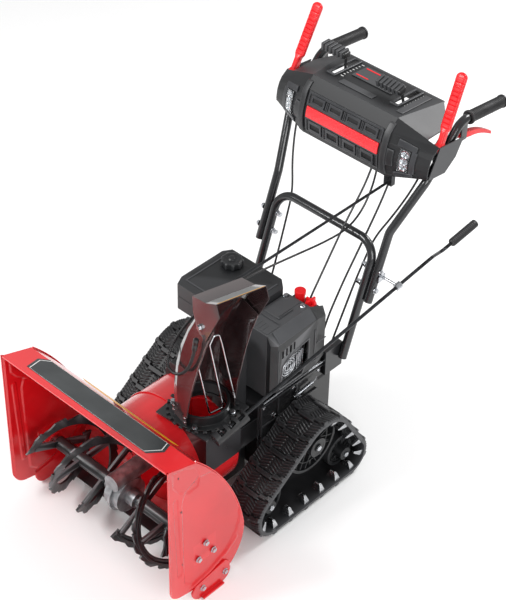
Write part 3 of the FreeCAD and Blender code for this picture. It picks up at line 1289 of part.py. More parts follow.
# --- rods and cables -----------------------------------------------------------------------------
def make_cables():
    start = V(128, 1032, 802)
    end = V(104, 432, 775)
    stay = rod(tuple(start), tuple(end), 4.0)
    eye = tube((104, 426, 764.6), (104, 438, 765), 9.5, 5.0)
    hanger = box((114, 142), (1024, 1040), (794, 846))
    add("cable_stay", joined(stay, eye, hanger))

    routes = {
        "engine": [(84, 1020, 864), (84, 982, 794), (86, 900, 700), (90, 815, 590),
                   (92, 770, 530), (92, 756, 505)],
        "speed": [(118, 1058, 812), (118, 1016, 736), (118, 950, 640), (116, 880, 540),
                  (110, 830, 440), (104, 812, 372), (100, 808, 330)],
        "clutch, left": [(226, 1064, 900), (214, 1020, 820), (186, 985, 740), (150, 955, 660),
                         (140, 900, 540), (134, 850, 420), (130, 818, 340), (128, 812, 310)],
        "clutch, right": [(-226, 1064, 900), (-210, 1020, 820), (-186, 985, 740),
                          (-156, 958, 660), (-146, 910, 540), (-138, 860, 420),
                          (-130, 820, 340), (-128, 812, 310)],
    }
    cables = []
    for name, points in routes.items():
        cable, radii = bent_bar(points, CABLE_RADIUS)
        print(name, "cable bend radii", [round(r) for r in radii])
        cables.append(cable)
    add("control_cables", *cables)

    to_stay = [(100, 1014, 876), (100, 1008, 832), (100, 992, 780), (102, 952, 726),
               (104, 890, 700), (105, 800, 708), (105, 690, 728), (105, 560, 752),
               (104, 444, 765), (104, 408, 764)]
    round_chute = [(-36, 56, 744), (-58, 34, 700), (-72, -6, 644), (-66, -50, 604),
                   (-40, -86, 578), (-4, -92, 566), (40, -86, 590), (74, -82, 640),
                   (92, -81, 690), (100, -81, 722)]
    turn = Rotation(V(0, 0, 1), CHUTE_HEADING)
    placed = [tuple(turn.multVec(V(*p)) + V(CHUTE_X, CHUTE_Y, 0)) for p in round_chute]
    cable, radii = bent_bar(to_stay + placed, CABLE_RADIUS)
    print("deflector cable bend radii", [round(r) for r in radii])
    boot = turned_chute(rod((99, -81, 716), (110, -81, 766), 7.0))
    add("deflector_cable", joined(cable, boot))


for build in (make_housing, make_skids, make_bearing_brackets, make_gearbox_case, make_auger,
              make_impeller, make_belt_drive, make_chute_base, make_chute_ring, make_chute,
              make_hood, make_crank, make_eye, make_chassis, make_belt_cover, make_engine,
              make_tank, make_recoil, make_tracks, make_handles, make_bolts, make_dash,
              make_levers, make_cables):
    build()

os.makedirs("parts", exist_ok=True)
for node, shape in NODES.items():
    if not shape.isValid():
        print("not valid:", node)
    shape.exportStep(f"parts/{node}.step")
print(len(NODES), "nodes")
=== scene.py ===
"""Looks for a tracked two stage snowblower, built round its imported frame."""
import json
import logging
import math
from dataclasses import dataclass, field
from enum import Enum

import bmesh
import bpy
import numpy as np
from mathutils import Matrix, Vector

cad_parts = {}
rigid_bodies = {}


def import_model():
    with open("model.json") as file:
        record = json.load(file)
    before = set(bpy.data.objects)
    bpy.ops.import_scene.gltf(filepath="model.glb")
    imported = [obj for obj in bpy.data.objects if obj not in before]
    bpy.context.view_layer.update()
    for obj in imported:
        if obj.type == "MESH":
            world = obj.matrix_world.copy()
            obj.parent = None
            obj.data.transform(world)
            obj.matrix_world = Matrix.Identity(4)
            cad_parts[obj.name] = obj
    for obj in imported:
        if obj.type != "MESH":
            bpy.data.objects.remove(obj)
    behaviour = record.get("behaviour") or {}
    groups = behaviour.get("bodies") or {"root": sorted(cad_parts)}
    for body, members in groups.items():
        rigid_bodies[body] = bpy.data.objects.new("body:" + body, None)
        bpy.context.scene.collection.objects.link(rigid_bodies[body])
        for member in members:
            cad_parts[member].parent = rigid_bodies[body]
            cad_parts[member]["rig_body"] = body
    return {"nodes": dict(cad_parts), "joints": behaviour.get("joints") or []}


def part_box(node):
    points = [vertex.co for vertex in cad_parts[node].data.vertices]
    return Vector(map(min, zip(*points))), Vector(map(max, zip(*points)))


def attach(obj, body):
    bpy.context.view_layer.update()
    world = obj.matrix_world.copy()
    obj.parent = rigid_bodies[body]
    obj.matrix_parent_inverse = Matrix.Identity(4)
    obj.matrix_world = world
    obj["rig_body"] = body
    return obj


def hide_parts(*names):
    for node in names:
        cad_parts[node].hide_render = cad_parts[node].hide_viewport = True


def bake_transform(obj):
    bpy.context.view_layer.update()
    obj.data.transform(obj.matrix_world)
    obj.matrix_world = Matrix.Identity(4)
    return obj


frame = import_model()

log = logging.getLogger("snowblower")
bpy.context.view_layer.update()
Shape = tuple[np.ndarray, list]  # points in millimetres, and faces as lists of point numbers
MM = 0.001  # metres in a millimetre
FULL_TURN = 2 * math.pi
MERGED = 1e-5  # points of a made mesh nearer than this, in metres, become one
MERGED_COPY = 2e-6  # the same in a copy of a frame node
LEVEL = math.radians(0.6)  # faces of a copy that lie nearer to one plane than this are joined
ROUND_STEPS = 2  # steps across each rounded edge
BACK_CURVE = ((101, 512), (225, 332), (280, 157))  # (y, z) on the housing's rounded back
CHUTE_PLACE = (98.0, 338.0)  # (x, y) of the axis that the chute turns on
CHUTE_HEADING = math.radians(-15.0)


class Slot(Enum):
    """The record's material slots."""

    RED = "red_paint"
    BLACK_PAINT = "black_paint"
    AUGER = "auger_paint"
    TUBE = "tube_paint"
    BLACK_PLASTIC = "black_plastic"
    GLOSS_BLACK = "gloss_black"
    CHARCOAL = "charcoal_plastic"
    GREY = "grey_plastic"
    RED_PLASTIC = "red_plastic"
    CLEAR = "clear_lamp"
    ZINC = "zinc"
    WIRE = "bright_wire"
    CAST = "cast_alloy"
    STEEL = "steel"
    BRONZE = "bronze"
    TRACK = "track_rubber"
    GRIP = "grip_rubber"
    CABLE = "cable_jacket"


# --- finishes --------------------------------------------------------------------------------------
def linear(code: str) -> tuple[float, float, float, float]:
    """Turn an sRGB hex colour to linear light.

    Args:
        code: Six hex digits, such as "A01218".

    Returns:
        Red, green, blue and an alpha of 1.
    """
    channels = [int(code[i:i + 2], 16) / 255 for i in (0, 2, 4)]
    return tuple([c / 12.92 if c <= 0.04045 else ((c + 0.055) / 1.055) ** 2.4 for c in channels] + [1.0])


def add_node(tree: bpy.types.NodeTree, kind: str, settings: dict | None = None,
             links: dict | None = None) -> bpy.types.Node:
    """Add one shader node.

    Args:
        tree: The material's node tree.
        kind: The node's type name without its ShaderNode prefix.
        settings: Attribute names, or input names and numbers, to their values.
        links: Input names or numbers to the output sockets that feed them.

    Returns:
        The new node.
    """
    made = tree.nodes.new("ShaderNode" + kind)
    for name, value in (settings or {}).items():
        if isinstance(name, str) and hasattr(made, name):
            setattr(made, name, value)
        else:
            made.inputs[name].default_value = value
    for name, source in (links or {}).items():
        tree.links.new(source, made.inputs[name])
    return made


def blank(name: str) -> tuple[bpy.types.Material, bpy.types.NodeTree, bpy.types.Node]:
    """Make a node material.

    Args:
        name: Its name.

    Returns:
        The material, its node tree and its one shader.
    """
    made = bpy.data.materials.new(name)
    made.use_nodes = True
    return made, made.node_tree, made.node_tree.nodes["Principled BSDF"]


def edged(tree: bpy.types.NodeTree, colour: bpy.types.NodeSocket, code: str, low: float, high: float,
          most: float) -> bpy.types.NodeSocket:
    """Lay a second colour on what stands proud, by the mesh's pointiness: a painted highlight on edges and
    ribs.

    Args:
        tree: The material's node tree.
        colour: The colour so far.
        code: The second colour's hex digits.
        low: Pointiness at which it begins.
        high: Pointiness at which it is full.
        most: Its share there.

    Returns:
        The mixed colour.
    """
    geometry = add_node(tree, "NewGeometry")
    edge = add_node(tree, "MapRange", {"From Min": low, "From Max": high, "To Max": most},
                    {"Value": geometry.outputs["Pointiness"]})
    mix = add_node(tree, "Mix", {"data_type": "RGBA"}, {"Factor": edge.outputs["Result"], "A": colour})
    mix.inputs["B"].default_value = linear(code)
    return mix.outputs["Result"]


@dataclass(frozen=True)
class Finish:
    """A surface: what it is made of and what that gives the eye."""

    name: str
    slot: Slot
    light: str
    dark: str
    roughness: float = 0.4
    rough_spread: float = 0.1
    metallic: float = 0.0
    ior: float = 1.5
    coat: float = 0.0
    patch: float = 60.0
    grain: float = 1.2
    bump: float = 0.1
    bump_depth: float = 0.15
    # A lighter colour laid on proud edges by pointiness: a painted highlight.
    edge_highlight: str = ""

    def material(self) -> bpy.types.Material:
        """Build the material once and hand out the same one after that.

        A slow noise mixes the two colours, a fine one gives the grain its height and roughness.

        Returns:
            The node material.
        """
        known = bpy.data.materials.get(self.name)
        if known:
            return known
        made, tree, shader = blank(self.name)
        place = add_node(tree, "TexCoord").outputs["Object"]
        cloud = add_node(tree, "TexNoise", {"Scale": 1000 / self.patch, "Detail": 3.0}, {"Vector": place})
        grain = add_node(tree, "TexNoise", {"Scale": 1000 / self.grain, "Detail": 2.0, "Roughness": 0.6},
                         {"Vector": place})
        ramp = add_node(tree, "ValToRGB", links={"Fac": cloud.outputs["Fac"]})
        for stop, share, code in zip(ramp.color_ramp.elements, (0.35, 0.68), (self.dark, self.light)):
            stop.position = share
            stop.color = linear(code)
        colour = ramp.outputs["Color"]
        # Painted highlight: the lighter colour on what stands proud.
        if self.edge_highlight:
            colour = edged(tree, colour, self.edge_highlight, 0.53, 0.62, 0.55)
        tree.links.new(colour, shader.inputs["Base Color"])
        rough = add_node(tree, "MapRange", {"To Min": max(0.02, self.roughness - self.rough_spread),
                                            "To Max": min(1.0, self.roughness + self.rough_spread)},
                         {"Value": cloud.outputs["Fac"]})
        tree.links.new(rough.outputs["Result"], shader.inputs["Roughness"])
        height = add_node(tree, "Bump", {"Strength": self.bump, "Distance": self.bump_depth * MM},
                          {"Height": grain.outputs["Fac"]})
        tree.links.new(height.outputs["Normal"], shader.inputs["Normal"])
        shader.inputs["Metallic"].default_value = self.metallic
        if not self.metallic:
            shader.inputs["IOR"].default_value = self.ior
        if self.coat:
            shader.inputs["Coat Weight"].default_value = self.coat
            shader.inputs["Coat Roughness"].default_value = 0.06
        return made


@dataclass(frozen=True)
class BeltRubber(Finish):
    """Moulded rubber: matt, with a pale tone on what stands proud, a painted highlight on the ribs."""

    ridge_highlight: str = "4C4D50"

    def material(self) -> bpy.types.Material:
        """Add the painted highlight on proud ribs to the plain finish.

        Returns:
            The node material.
        """
        known = bpy.data.materials.get(self.name)
        made = super().material()
        if known:
            return made
        tree = made.node_tree
        shader = tree.nodes["Principled BSDF"]
        base = shader.inputs["Base Color"].links[0].from_socket
        # Painted highlight: a pale colour on the proud ribs.
        tree.links.new(edged(tree, base, self.ridge_highlight, 0.5, 0.6, 0.8), shader.inputs["Base Color"])
        return made


@dataclass(frozen=True)
class ClearPolycarbonate:
    """The lamps' moulded window: clear, glossy, faintly blue."""

    name: str = "clear polycarbonate"
    slot: Slot = Slot.CLEAR

    def material(self) -> bpy.types.Material:
        """Build the window's material.

        Returns:
            The node material.
        """
        known = bpy.data.materials.get(self.name)
        if known:
            return known
        made, tree, shader = blank(self.name)
        place = add_node(tree, "TexCoord").outputs["Object"]
        noise = add_node(tree, "TexNoise", {"Scale": 90.0}, {"Vector": place})
        rough = add_node(tree, "MapRange", {"To Min": 0.03, "To Max": 0.09}, {"Value": noise.outputs["Fac"]})
        tree.links.new(rough.outputs["Result"], shader.inputs["Roughness"])
        shader.inputs["Base Color"].default_value = linear("E6ECF0")
        shader.inputs["IOR"].default_value = 1.58
        shader.inputs["Transmission Weight"].default_value = 0.9
        shader.inputs["Alpha"].default_value = 0.45
        return made


# The lighter edge colours given below are painted highlights on proud edges.
# Polyester powder coat, baked on sheet: deep gloss with a slight orange peel.
RED_COAT = Finish("red powder coat", Slot.RED, "D2141C", "C40E16", 0.22, 0.05, coat=0.5, patch=160,
                  grain=2.6, bump=0.12, bump_depth=0.12, edge_highlight="E8383C")
# The same red coat made darker for the impeller inside the drum: painted shade.
RED_COAT_SHADED = Finish("red powder coat, darkened as painted shade", Slot.RED, "C00C14", "AC0A11", 0.3, 0.08, coat=0.3, patch=90,
                   grain=2.6, bump=0.15, bump_depth=0.12)
# The same coat in black: satin, so that it mirrors the red beside it softly.
BLACK_COAT = Finish("black powder coat", Slot.BLACK_PAINT, "161617", "0E0E10", 0.3, 0.08, patch=80, coat=0.2,
                    grain=1.6, bump=0.12, edge_highlight="4B4C4F")
GLOSS_BLACK = Finish("gloss black stove enamel", Slot.GLOSS_BLACK, "38292A", "241B1C", 0.2, 0.05, coat=0.6,
                     patch=120, grain=3.0, bump=0.05, edge_highlight="8A7C7C")
AUGER_COAT = Finish("auger paint over rolled steel", Slot.AUGER, "1E1F21", "131315", 0.38, 0.12, patch=26,
                    grain=1.5, bump=0.25, edge_highlight="7C7D80")
TUBE_COAT = Finish("gunmetal tube coat", Slot.TUBE, "2D2E30", "232426", 0.24, 0.05, 0.3, coat=0.5, patch=70,
                   grain=1.0, bump=0.08)
# Moulded ABS with a spark-eroded texture: a soft broad sheen.
CHARCOAL_ABS = Finish("charcoal textured ABS", Slot.CHARCOAL, "212224", "1A1B1D", 0.44, 0.08, patch=110,
                      grain=1.1, bump=0.35, bump_depth=0.1, edge_highlight="77787B")
DARK_ABS = Finish("black textured ABS", Slot.BLACK_PLASTIC, "1D1E20", "161718", 0.38, 0.08, patch=80,
                  grain=1.1, bump=0.35, bump_depth=0.1, edge_highlight="5C5D60")
VENT_ABS = Finish("dark grey gloss ABS", Slot.GREY, "3A3B3E", "303134", 0.34, 0.06, patch=70, grain=1.1,
                  bump=0.2,
                  bump_depth=0.08, edge_highlight="6A6B6E")
# Near-black laid over holes, slots, vents and lamp wells: painted shade standing in for the dark inside
# openings.
OPENING_SHADE_BLACK = Finish("black painted shade of openings", Slot.BLACK_PLASTIC, "101012", "0A0A0C", 0.6, 0.1, patch=40, bump=0.2)
RED_NYLON = Finish("red glass filled nylon", Slot.RED_PLASTIC, "EA1A22", "DC121A", 0.34, 0.06, patch=90,
                   grain=1.4, bump=0.2, bump_depth=0.1, coat=0.1)
BADGE_RED = Finish("red lacquered plate", Slot.RED_PLASTIC, "F03038", "E8262E", 0.25, 0.05, patch=90,
                   bump=0.04)
# Zinc plate, blue passivated: bright and a little mottled.
ZINC = Finish("zinc plate", Slot.ZINC, "D6D8DC", "AEB1B6", 0.26, 0.1, 1.0, patch=8, grain=0.8, bump=0.12)
CHROME = Finish("nickel chrome wire", Slot.WIRE, "DADBDD", "BDBEC2", 0.16, 0.05, 1.0, patch=20, bump=0.04)
ROD_STEEL = Finish("blacked steel rod", Slot.WIRE, "3C3D40", "2C2D2F", 0.28, 0.08, 0.7, patch=30, bump=0.08)
# Pressure die cast aluminium: pale, dull, finely pitted.
CAST = Finish("die cast aluminium", Slot.CAST, "B4B5B7", "8C8D90", 0.42, 0.12, 0.9, patch=20, grain=1.4,
              bump=0.4)
STEEL = Finish("turned steel", Slot.STEEL, "A6A8AB", "86888C", 0.3, 0.1, 1.0, patch=12, bump=0.1)
BRONZE = Finish("gear bronze", Slot.BRONZE, "C08A42", "9A6A2C", 0.32, 0.1, 1.0, patch=12, bump=0.1)
TRACK_RUBBER = BeltRubber("moulded track rubber", Slot.TRACK, "1E1E20", "161617", 0.42, 0.1, patch=40,
                          grain=1.6, bump=0.4, bump_depth=0.2)
FIN_STEEL = Finish("worn bright steel", Slot.STEEL, "D8DADC", "A9ABAF", 0.24, 0.1, 1.0, patch=14, bump=0.15)
GRIP_RUBBER = Finish("grip rubber", Slot.GRIP, "1E1E20", "151517", 0.5, 0.08, patch=30, grain=1.2, bump=0.3,
                     edge_highlight="48484B")
CABLE_VINYL = Finish("cable jacket vinyl", Slot.CABLE, "202022", "151517", 0.34, 0.06, patch=20, bump=0.1)
LABEL_GREY = Finish("dark grey vinyl label", Slot.GREY, "3E4142", "343738", 0.3, 0.05, patch=60, bump=0.06)
LABEL_YELLOW = Finish("yellow vinyl stripe", Slot.GREY, "E8A81E", "DC9C14", 0.3, 0.05, patch=60, bump=0.06)
LABEL_WHITE = Finish("white vinyl print", Slot.GREY, "E4E4E2", "D6D6D4", 0.35, 0.05, patch=40, bump=0.04)
REFLECTOR = Finish("vacuum plated reflector", Slot.WIRE, "E8EAEC", "CDD0D4", 0.12, 0.04, 1.0, patch=10,
                   bump=0.02)
CLEAR = ClearPolycarbonate()


# --- mesh work -------------------------------------------------------------------------------------
def placed(name: str, data: bpy.types.ID) -> bpy.types.Object:
    """Put data into a new object in the scene.

    Args:
        name: The object's name.
        data: A mesh, light or camera.

    Returns:
        The object.
    """
    made = bpy.data.objects.new(name, data)
    bpy.context.scene.collection.objects.link(made)
    return made


def piece(name: str, verts: np.ndarray, faces: list, finish: Finish | ClearPolycarbonate, body: str,
          bevel: float = 0.0, smooth: float = 35.0) -> bpy.types.Object:
    """Put arrays into a mesh object that rides on a body.

    Args:
        name: The piece's name.
        verts: Points in millimetres, one row each.
        faces: Lists of point numbers.
        finish: Its surface.
        body: The frame body it moves with.
        bevel: Width in millimetres by which edges are rounded, or 0.
        smooth: Edges flatter than this many degrees are shaded smooth.

    Returns:
        The object, at the origin.
    """
    mesh = bpy.data.meshes.new(name)
    mesh.from_pydata(np.asarray(verts, float) * MM, [], faces)
    made = placed(name, mesh)
    work = bmesh.new()
    work.from_mesh(mesh)
    bmesh.ops.remove_doubles(work, verts=work.verts, dist=MERGED)
    bmesh.ops.recalc_face_normals(work, faces=work.faces)
    work.to_mesh(mesh)
    work.free()
    return finished(made, finish, body, bevel, smooth)


def finished(made: bpy.types.Object, finish: Finish | ClearPolycarbonate, body: str, bevel: float,
             smooth: float) -> bpy.types.Object:
    """Dress an object: shading, rounded edges, material and body.

    Args:
        made: The object.
        finish: Its surface.
        body: The frame body it moves with.
        bevel: Width in millimetres by which edges are rounded, or 0.
        smooth: Edges flatter than this many degrees are shaded smooth.

    Returns:
        The same object.
    """
    mesh = made.data
    mesh.polygons.foreach_set("use_smooth", np.ones(len(mesh.polygons), bool))
    mesh.set_sharp_from_angle(angle=math.radians(smooth))
    mesh.materials.clear()
    mesh.materials.append(finish.material())
    if bevel:
        rounding = made.modifiers.new("rounded edges", "BEVEL")
        rounding.width = bevel * MM
        rounding.segments = ROUND_STEPS
        rounding.limit_method = "ANGLE"
        rounding.angle_limit = math.radians(smooth)
        rounding.harden_normals = True
        rounding.use_clamp_overlap = True
    if body:
        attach(made, body)
    log.info("%s on %s in %s", made.name, body, finish.name)
    return made


def grid_faces(rows: int, columns: int, wrap_rows: bool = False, wrap_columns: bool = False) -> list:
    """Quads over a grid of points numbered row by row.

    Args:
        rows: Points down.
        columns: Points across.
        wrap_rows: Join the last row to the first.
        wrap_columns: Join the last column to the first.

    Returns:
        Lists of four point numbers.
    """
    down = np.arange(rows if wrap_rows else rows - 1)[:, None]
    across = np.arange(columns if wrap_columns else columns - 1)[None, :]
    below = (down + 1) % rows
    beside = (across + 1) % columns
    corners = [down * columns + across, below * columns + across, below * columns + beside,
               down * columns + beside]
    return np.stack(np.broadcast_arrays(*corners), -1).reshape(-1, 4).tolist()


def tube_along(path: np.ndarray, section: np.ndarray, closed: bool = False) -> Shape:
    """Carry a section along a path.

    Each ring is the section placed across the path: its first axis is carried from ring to ring
    without twist, and its second is the cross product with the path's direction.

    Args:
        path: Points of the path.
        section: Points (a, b) of the section, shared, or one set for each path point.
        closed: The path joins up.

    Returns:
        The points and faces, with end caps if the path is open.
    """
    path = np.asarray(path, float)
    ahead = np.roll(path, -1, 0) - np.roll(path, 1, 0)
    if not closed:
        ahead[0] = path[1] - path[0]
        ahead[-1] = path[-1] - path[-2]
    ahead /= np.linalg.norm(ahead, axis=1)[:, None]
    side = np.zeros_like(path)
    seed = np.array([1.0, 0, 0]) if abs(ahead[0][0]) < 0.9 else np.array([0, 0, 1.0])
    current = seed - ahead[0] * (seed @ ahead[0])
    for i, direction in enumerate(ahead):
        current = current - direction * (current @ direction)
        current /= np.linalg.norm(current)
        side[i] = current
    other = np.cross(ahead, side)
    section = np.asarray(section, float)
    if section.ndim == 2:
        section = np.broadcast_to(section, (len(path),) + section.shape)
    points = (path[:, None, :] + side[:, None, :] * section[:, :, :1] + other[:, None, :] * section[:, :, 1:])
    count = section.shape[1]
    faces = grid_faces(len(path), count, wrap_rows=closed, wrap_columns=True)
    if not closed:
        faces.append(list(range(count)))
        faces.append(list(range((len(path) - 1) * count, len(path) * count)))
    return points.reshape(-1, 3), faces


def unit(vector: np.ndarray) -> np.ndarray:
    """The vector shortened or stretched to length 1."""
    vector = np.asarray(vector, float)
    return vector / np.linalg.norm(vector)


def round_turn(count: int) -> np.ndarray:
    """Angles evenly round a full turn."""
    return np.linspace(0, FULL_TURN, count, endpoint=False)


def circle(radius: float, count: int = 20) -> np.ndarray:
    """Points of a circle for tube_along."""
    turn = round_turn(count)
    return np.stack([radius * np.cos(turn), radius * np.sin(turn)], -1)


def turned(profile: list, start: np.ndarray, axis: np.ndarray, count: int = 32) -> Shape:
    """Turn a profile of (distance, radius) pairs about an axis.

    Args:
        profile: Pairs along the axis, from start; a closed shape begins and ends at radius 0.
        start: A point on the axis.
        axis: Its direction.
        count: Points round.

    Returns:
        Points and faces.
    """
    axis = unit(axis)
    seed = np.array([0, 0, 1.0]) if abs(axis[2]) < 0.9 else np.array([1.0, 0, 0])
    side = unit(np.cross(axis, seed))
    other = np.cross(axis, side)
    turn = round_turn(count)
    ring = np.cos(turn)[:, None] * side + np.sin(turn)[:, None] * other
    pairs = np.asarray(profile, float)
    points = np.asarray(start, float) + pairs[:, :1, None] * axis + pairs[:, 1:, None] * ring
    return points.reshape(-1, 3), grid_faces(len(pairs), count, wrap_columns=True)


def slab(outline: np.ndarray, lift: np.ndarray) -> Shape:
    """A plate between an outline and the same outline moved by lift.

    Args:
        outline: Points in order.
        lift: The move to the other face.

    Returns:
        Points and faces.
    """
    outline = np.asarray(outline, float)
    count = len(outline)
    faces = grid_faces(2, count, wrap_columns=True)
    return np.vstack([outline, outline + np.asarray(lift, float)]), faces + [
        list(range(count)), list(range(count, 2 * count))]


def gathered(parts: list) -> Shape:
    """Join several shapes into one.

    Args:
        parts: Pairs of points and faces.

    Returns:
        All the points, and the faces with their numbers moved on.
    """
    points: list = []
    faces: list = []
    start = 0
    for some_points, some_faces in parts:
        points.append(np.asarray(some_points, float))
        faces += [[i + start for i in face] for face in some_faces]
        start += len(some_points)
    return np.vstack(points), faces


def block(low: tuple, high: tuple) -> Shape:
    """A rectangular bar between two corners, to be rounded by its bevel.

    Args:
        low: Its lowest x, y and z.
        high: Its highest.

    Returns:
        Points and faces.
    """
    x0, y0, z0 = low
    x1, y1, z1 = high
    outline = np.array([[x0, y0, z0], [x1, y0, z0], [x1, y1, z0], [x0, y1, z0]])
    return slab(outline, np.array([0, 0, z1 - z0]))


def mirrored(shape: Shape) -> Shape:
    """The same shape on the machine's right."""
    return shape[0] * np.array([-1, 1, 1]), [face[::-1] for face in shape[1]]


def both_sides(parts: list) -> Shape:
    """Shapes for the machine's left joined, with the same on its right."""
    left = gathered(parts)
    return gathered([left, mirrored(left)])


def across(side: int, near: float, far: float) -> list[float]:
    """Two distances from the middle as x on one side, the lower x first."""
    return sorted((side * near, side * far))


def refined(node: str, finish: Finish | ClearPolycarbonate, bevel: float, smooth: float) -> None:
    """Stand a merged, edge-rounded copy in for a frame node.

    Args:
        node: The frame node's name.
        finish: Its surface.
        bevel: Width in millimetres by which edges are rounded, or 0.
        smooth: Edges flatter than this many degrees are shaded smooth.
    """
    source = frame["nodes"][node]
    mesh = source.data.copy()
    made = placed(node + ".finished", mesh)
    work = bmesh.new()
    work.from_mesh(mesh)
    bmesh.ops.remove_doubles(work, verts=work.verts, dist=MERGED_COPY)
    bmesh.ops.dissolve_limit(work, angle_limit=LEVEL, verts=work.verts, edges=work.edges)
    work.to_mesh(mesh)
    work.free()
    finished(made, finish, source["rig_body"], bevel, smooth)
    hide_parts(node)


def low_high(node: str) -> tuple[np.ndarray, np.ndarray]:
    """A frame node's lowest and highest corners, in millimetres."""
    low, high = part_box(node)
    return np.array(low) / MM, np.array(high) / MM


def joint_named(name: str) -> dict:
    """One of the frame's joints."""
    return next(j for j in frame["joints"] if j["name"] == name)


# --- sub-assemblies --------------------------------------------------------------------------------
def near_line(points: np.ndarray, line: list, closed: bool = False) -> np.ndarray:
    """Distance from each point to a polyline: the least over its straight runs.

    Args:
        points: Rows (a, b).
        line: The polyline's corners.
        closed: It joins up.

    Returns:
        One distance a point.
    """
    corners = np.asarray(line + line[:1] if closed else line, float)
    start, run = corners[:-1], np.diff(corners, axis=0)
    share = ((points[:, None, :] - start) * run).sum(-1) / (run ** 2).sum(-1)
    foot = start + run * np.clip(share, 0, 1)[..., None]
    return np.linalg.norm(points[:, None, :] - foot, axis=-1).min(1)


def within(points: np.ndarray, line: list) -> np.ndarray:
    """Whether each point is inside a closed polyline: a ray from it crosses the line an odd number of times.

    Args:
        points: Rows (a, b).
        line: The polyline's corners.

    Returns:
        True for each point inside.
    """
    corners = np.asarray(line, float)
    after = np.roll(corners, -1, 0)
    a, b = points[:, :1], points[:, 1:]
    straddles = (corners[:, 1] > b) != (after[:, 1] > b)
    rise = np.where(after[:, 1] == corners[:, 1], 1e-9, after[:, 1] - corners[:, 1])
    crossing = corners[:, 0] + (b - corners[:, 1]) * (after[:, 0] - corners[:, 0]) / rise
    return (straddles & (a < crossing)).sum(1) % 2 == 1


def eased(value: np.ndarray) -> np.ndarray:
    """A smooth step from 0 at 0 to 1 at 1."""
    held = np.clip(value, 0, 1)
    return held * held * (3 - 2 * held)


def arc_points(start: tuple, middle: tuple, end: tuple, count: int) -> np.ndarray:
    """Points on the circle through three, evenly turned from the first to the last.

    Args:
        start: The first point.
        middle: A point between.
        end: The last point.
        count: How many points to give.

    Returns:
        Rows (a, b).
    """
    (ax, ay), (bx, by), (cx, cy) = start, middle, end
    d = 2 * (ax * (by - cy) + bx * (cy - ay) + cx * (ay - by))
    squares = ax * ax + ay * ay, bx * bx + by * by, cx * cx + cy * cy
    centre = np.array([(squares[0] * (by - cy) + squares[1] * (cy - ay) + squares[2] * (ay - by)) / d,
                       (squares[0] * (cx - bx) + squares[1] * (ax - cx) + squares[2] * (bx - ax)) / d])
    angles = [math.atan2(p[1] - centre[1], p[0] - centre[0]) for p in (start, middle, end)]
    swept = np.unwrap(angles)
    turn = np.linspace(swept[0], swept[2], count)
    reach = math.hypot(ax - centre[0], ay - centre[1])
    return centre + reach * np.stack([np.cos(turn), np.sin(turn)], -1)


def on_chute(local: np.ndarray) -> np.ndarray:
    """Points of the chute, turned to its heading and moved to its place.

    Args:
        local: Rows (along, across, z).

    Returns:
        Rows (x, y, z).
    """
    local = np.asarray(local, float)
    x = CHUTE_PLACE[0] + local[:, 0] * math.cos(CHUTE_HEADING) - local[:, 1] * math.sin(CHUTE_HEADING)
    y = CHUTE_PLACE[1] + local[:, 0] * math.sin(CHUTE_HEADING) + local[:, 1] * math.cos(CHUTE_HEADING)
    return np.column_stack([x, y, local[:, 2]])


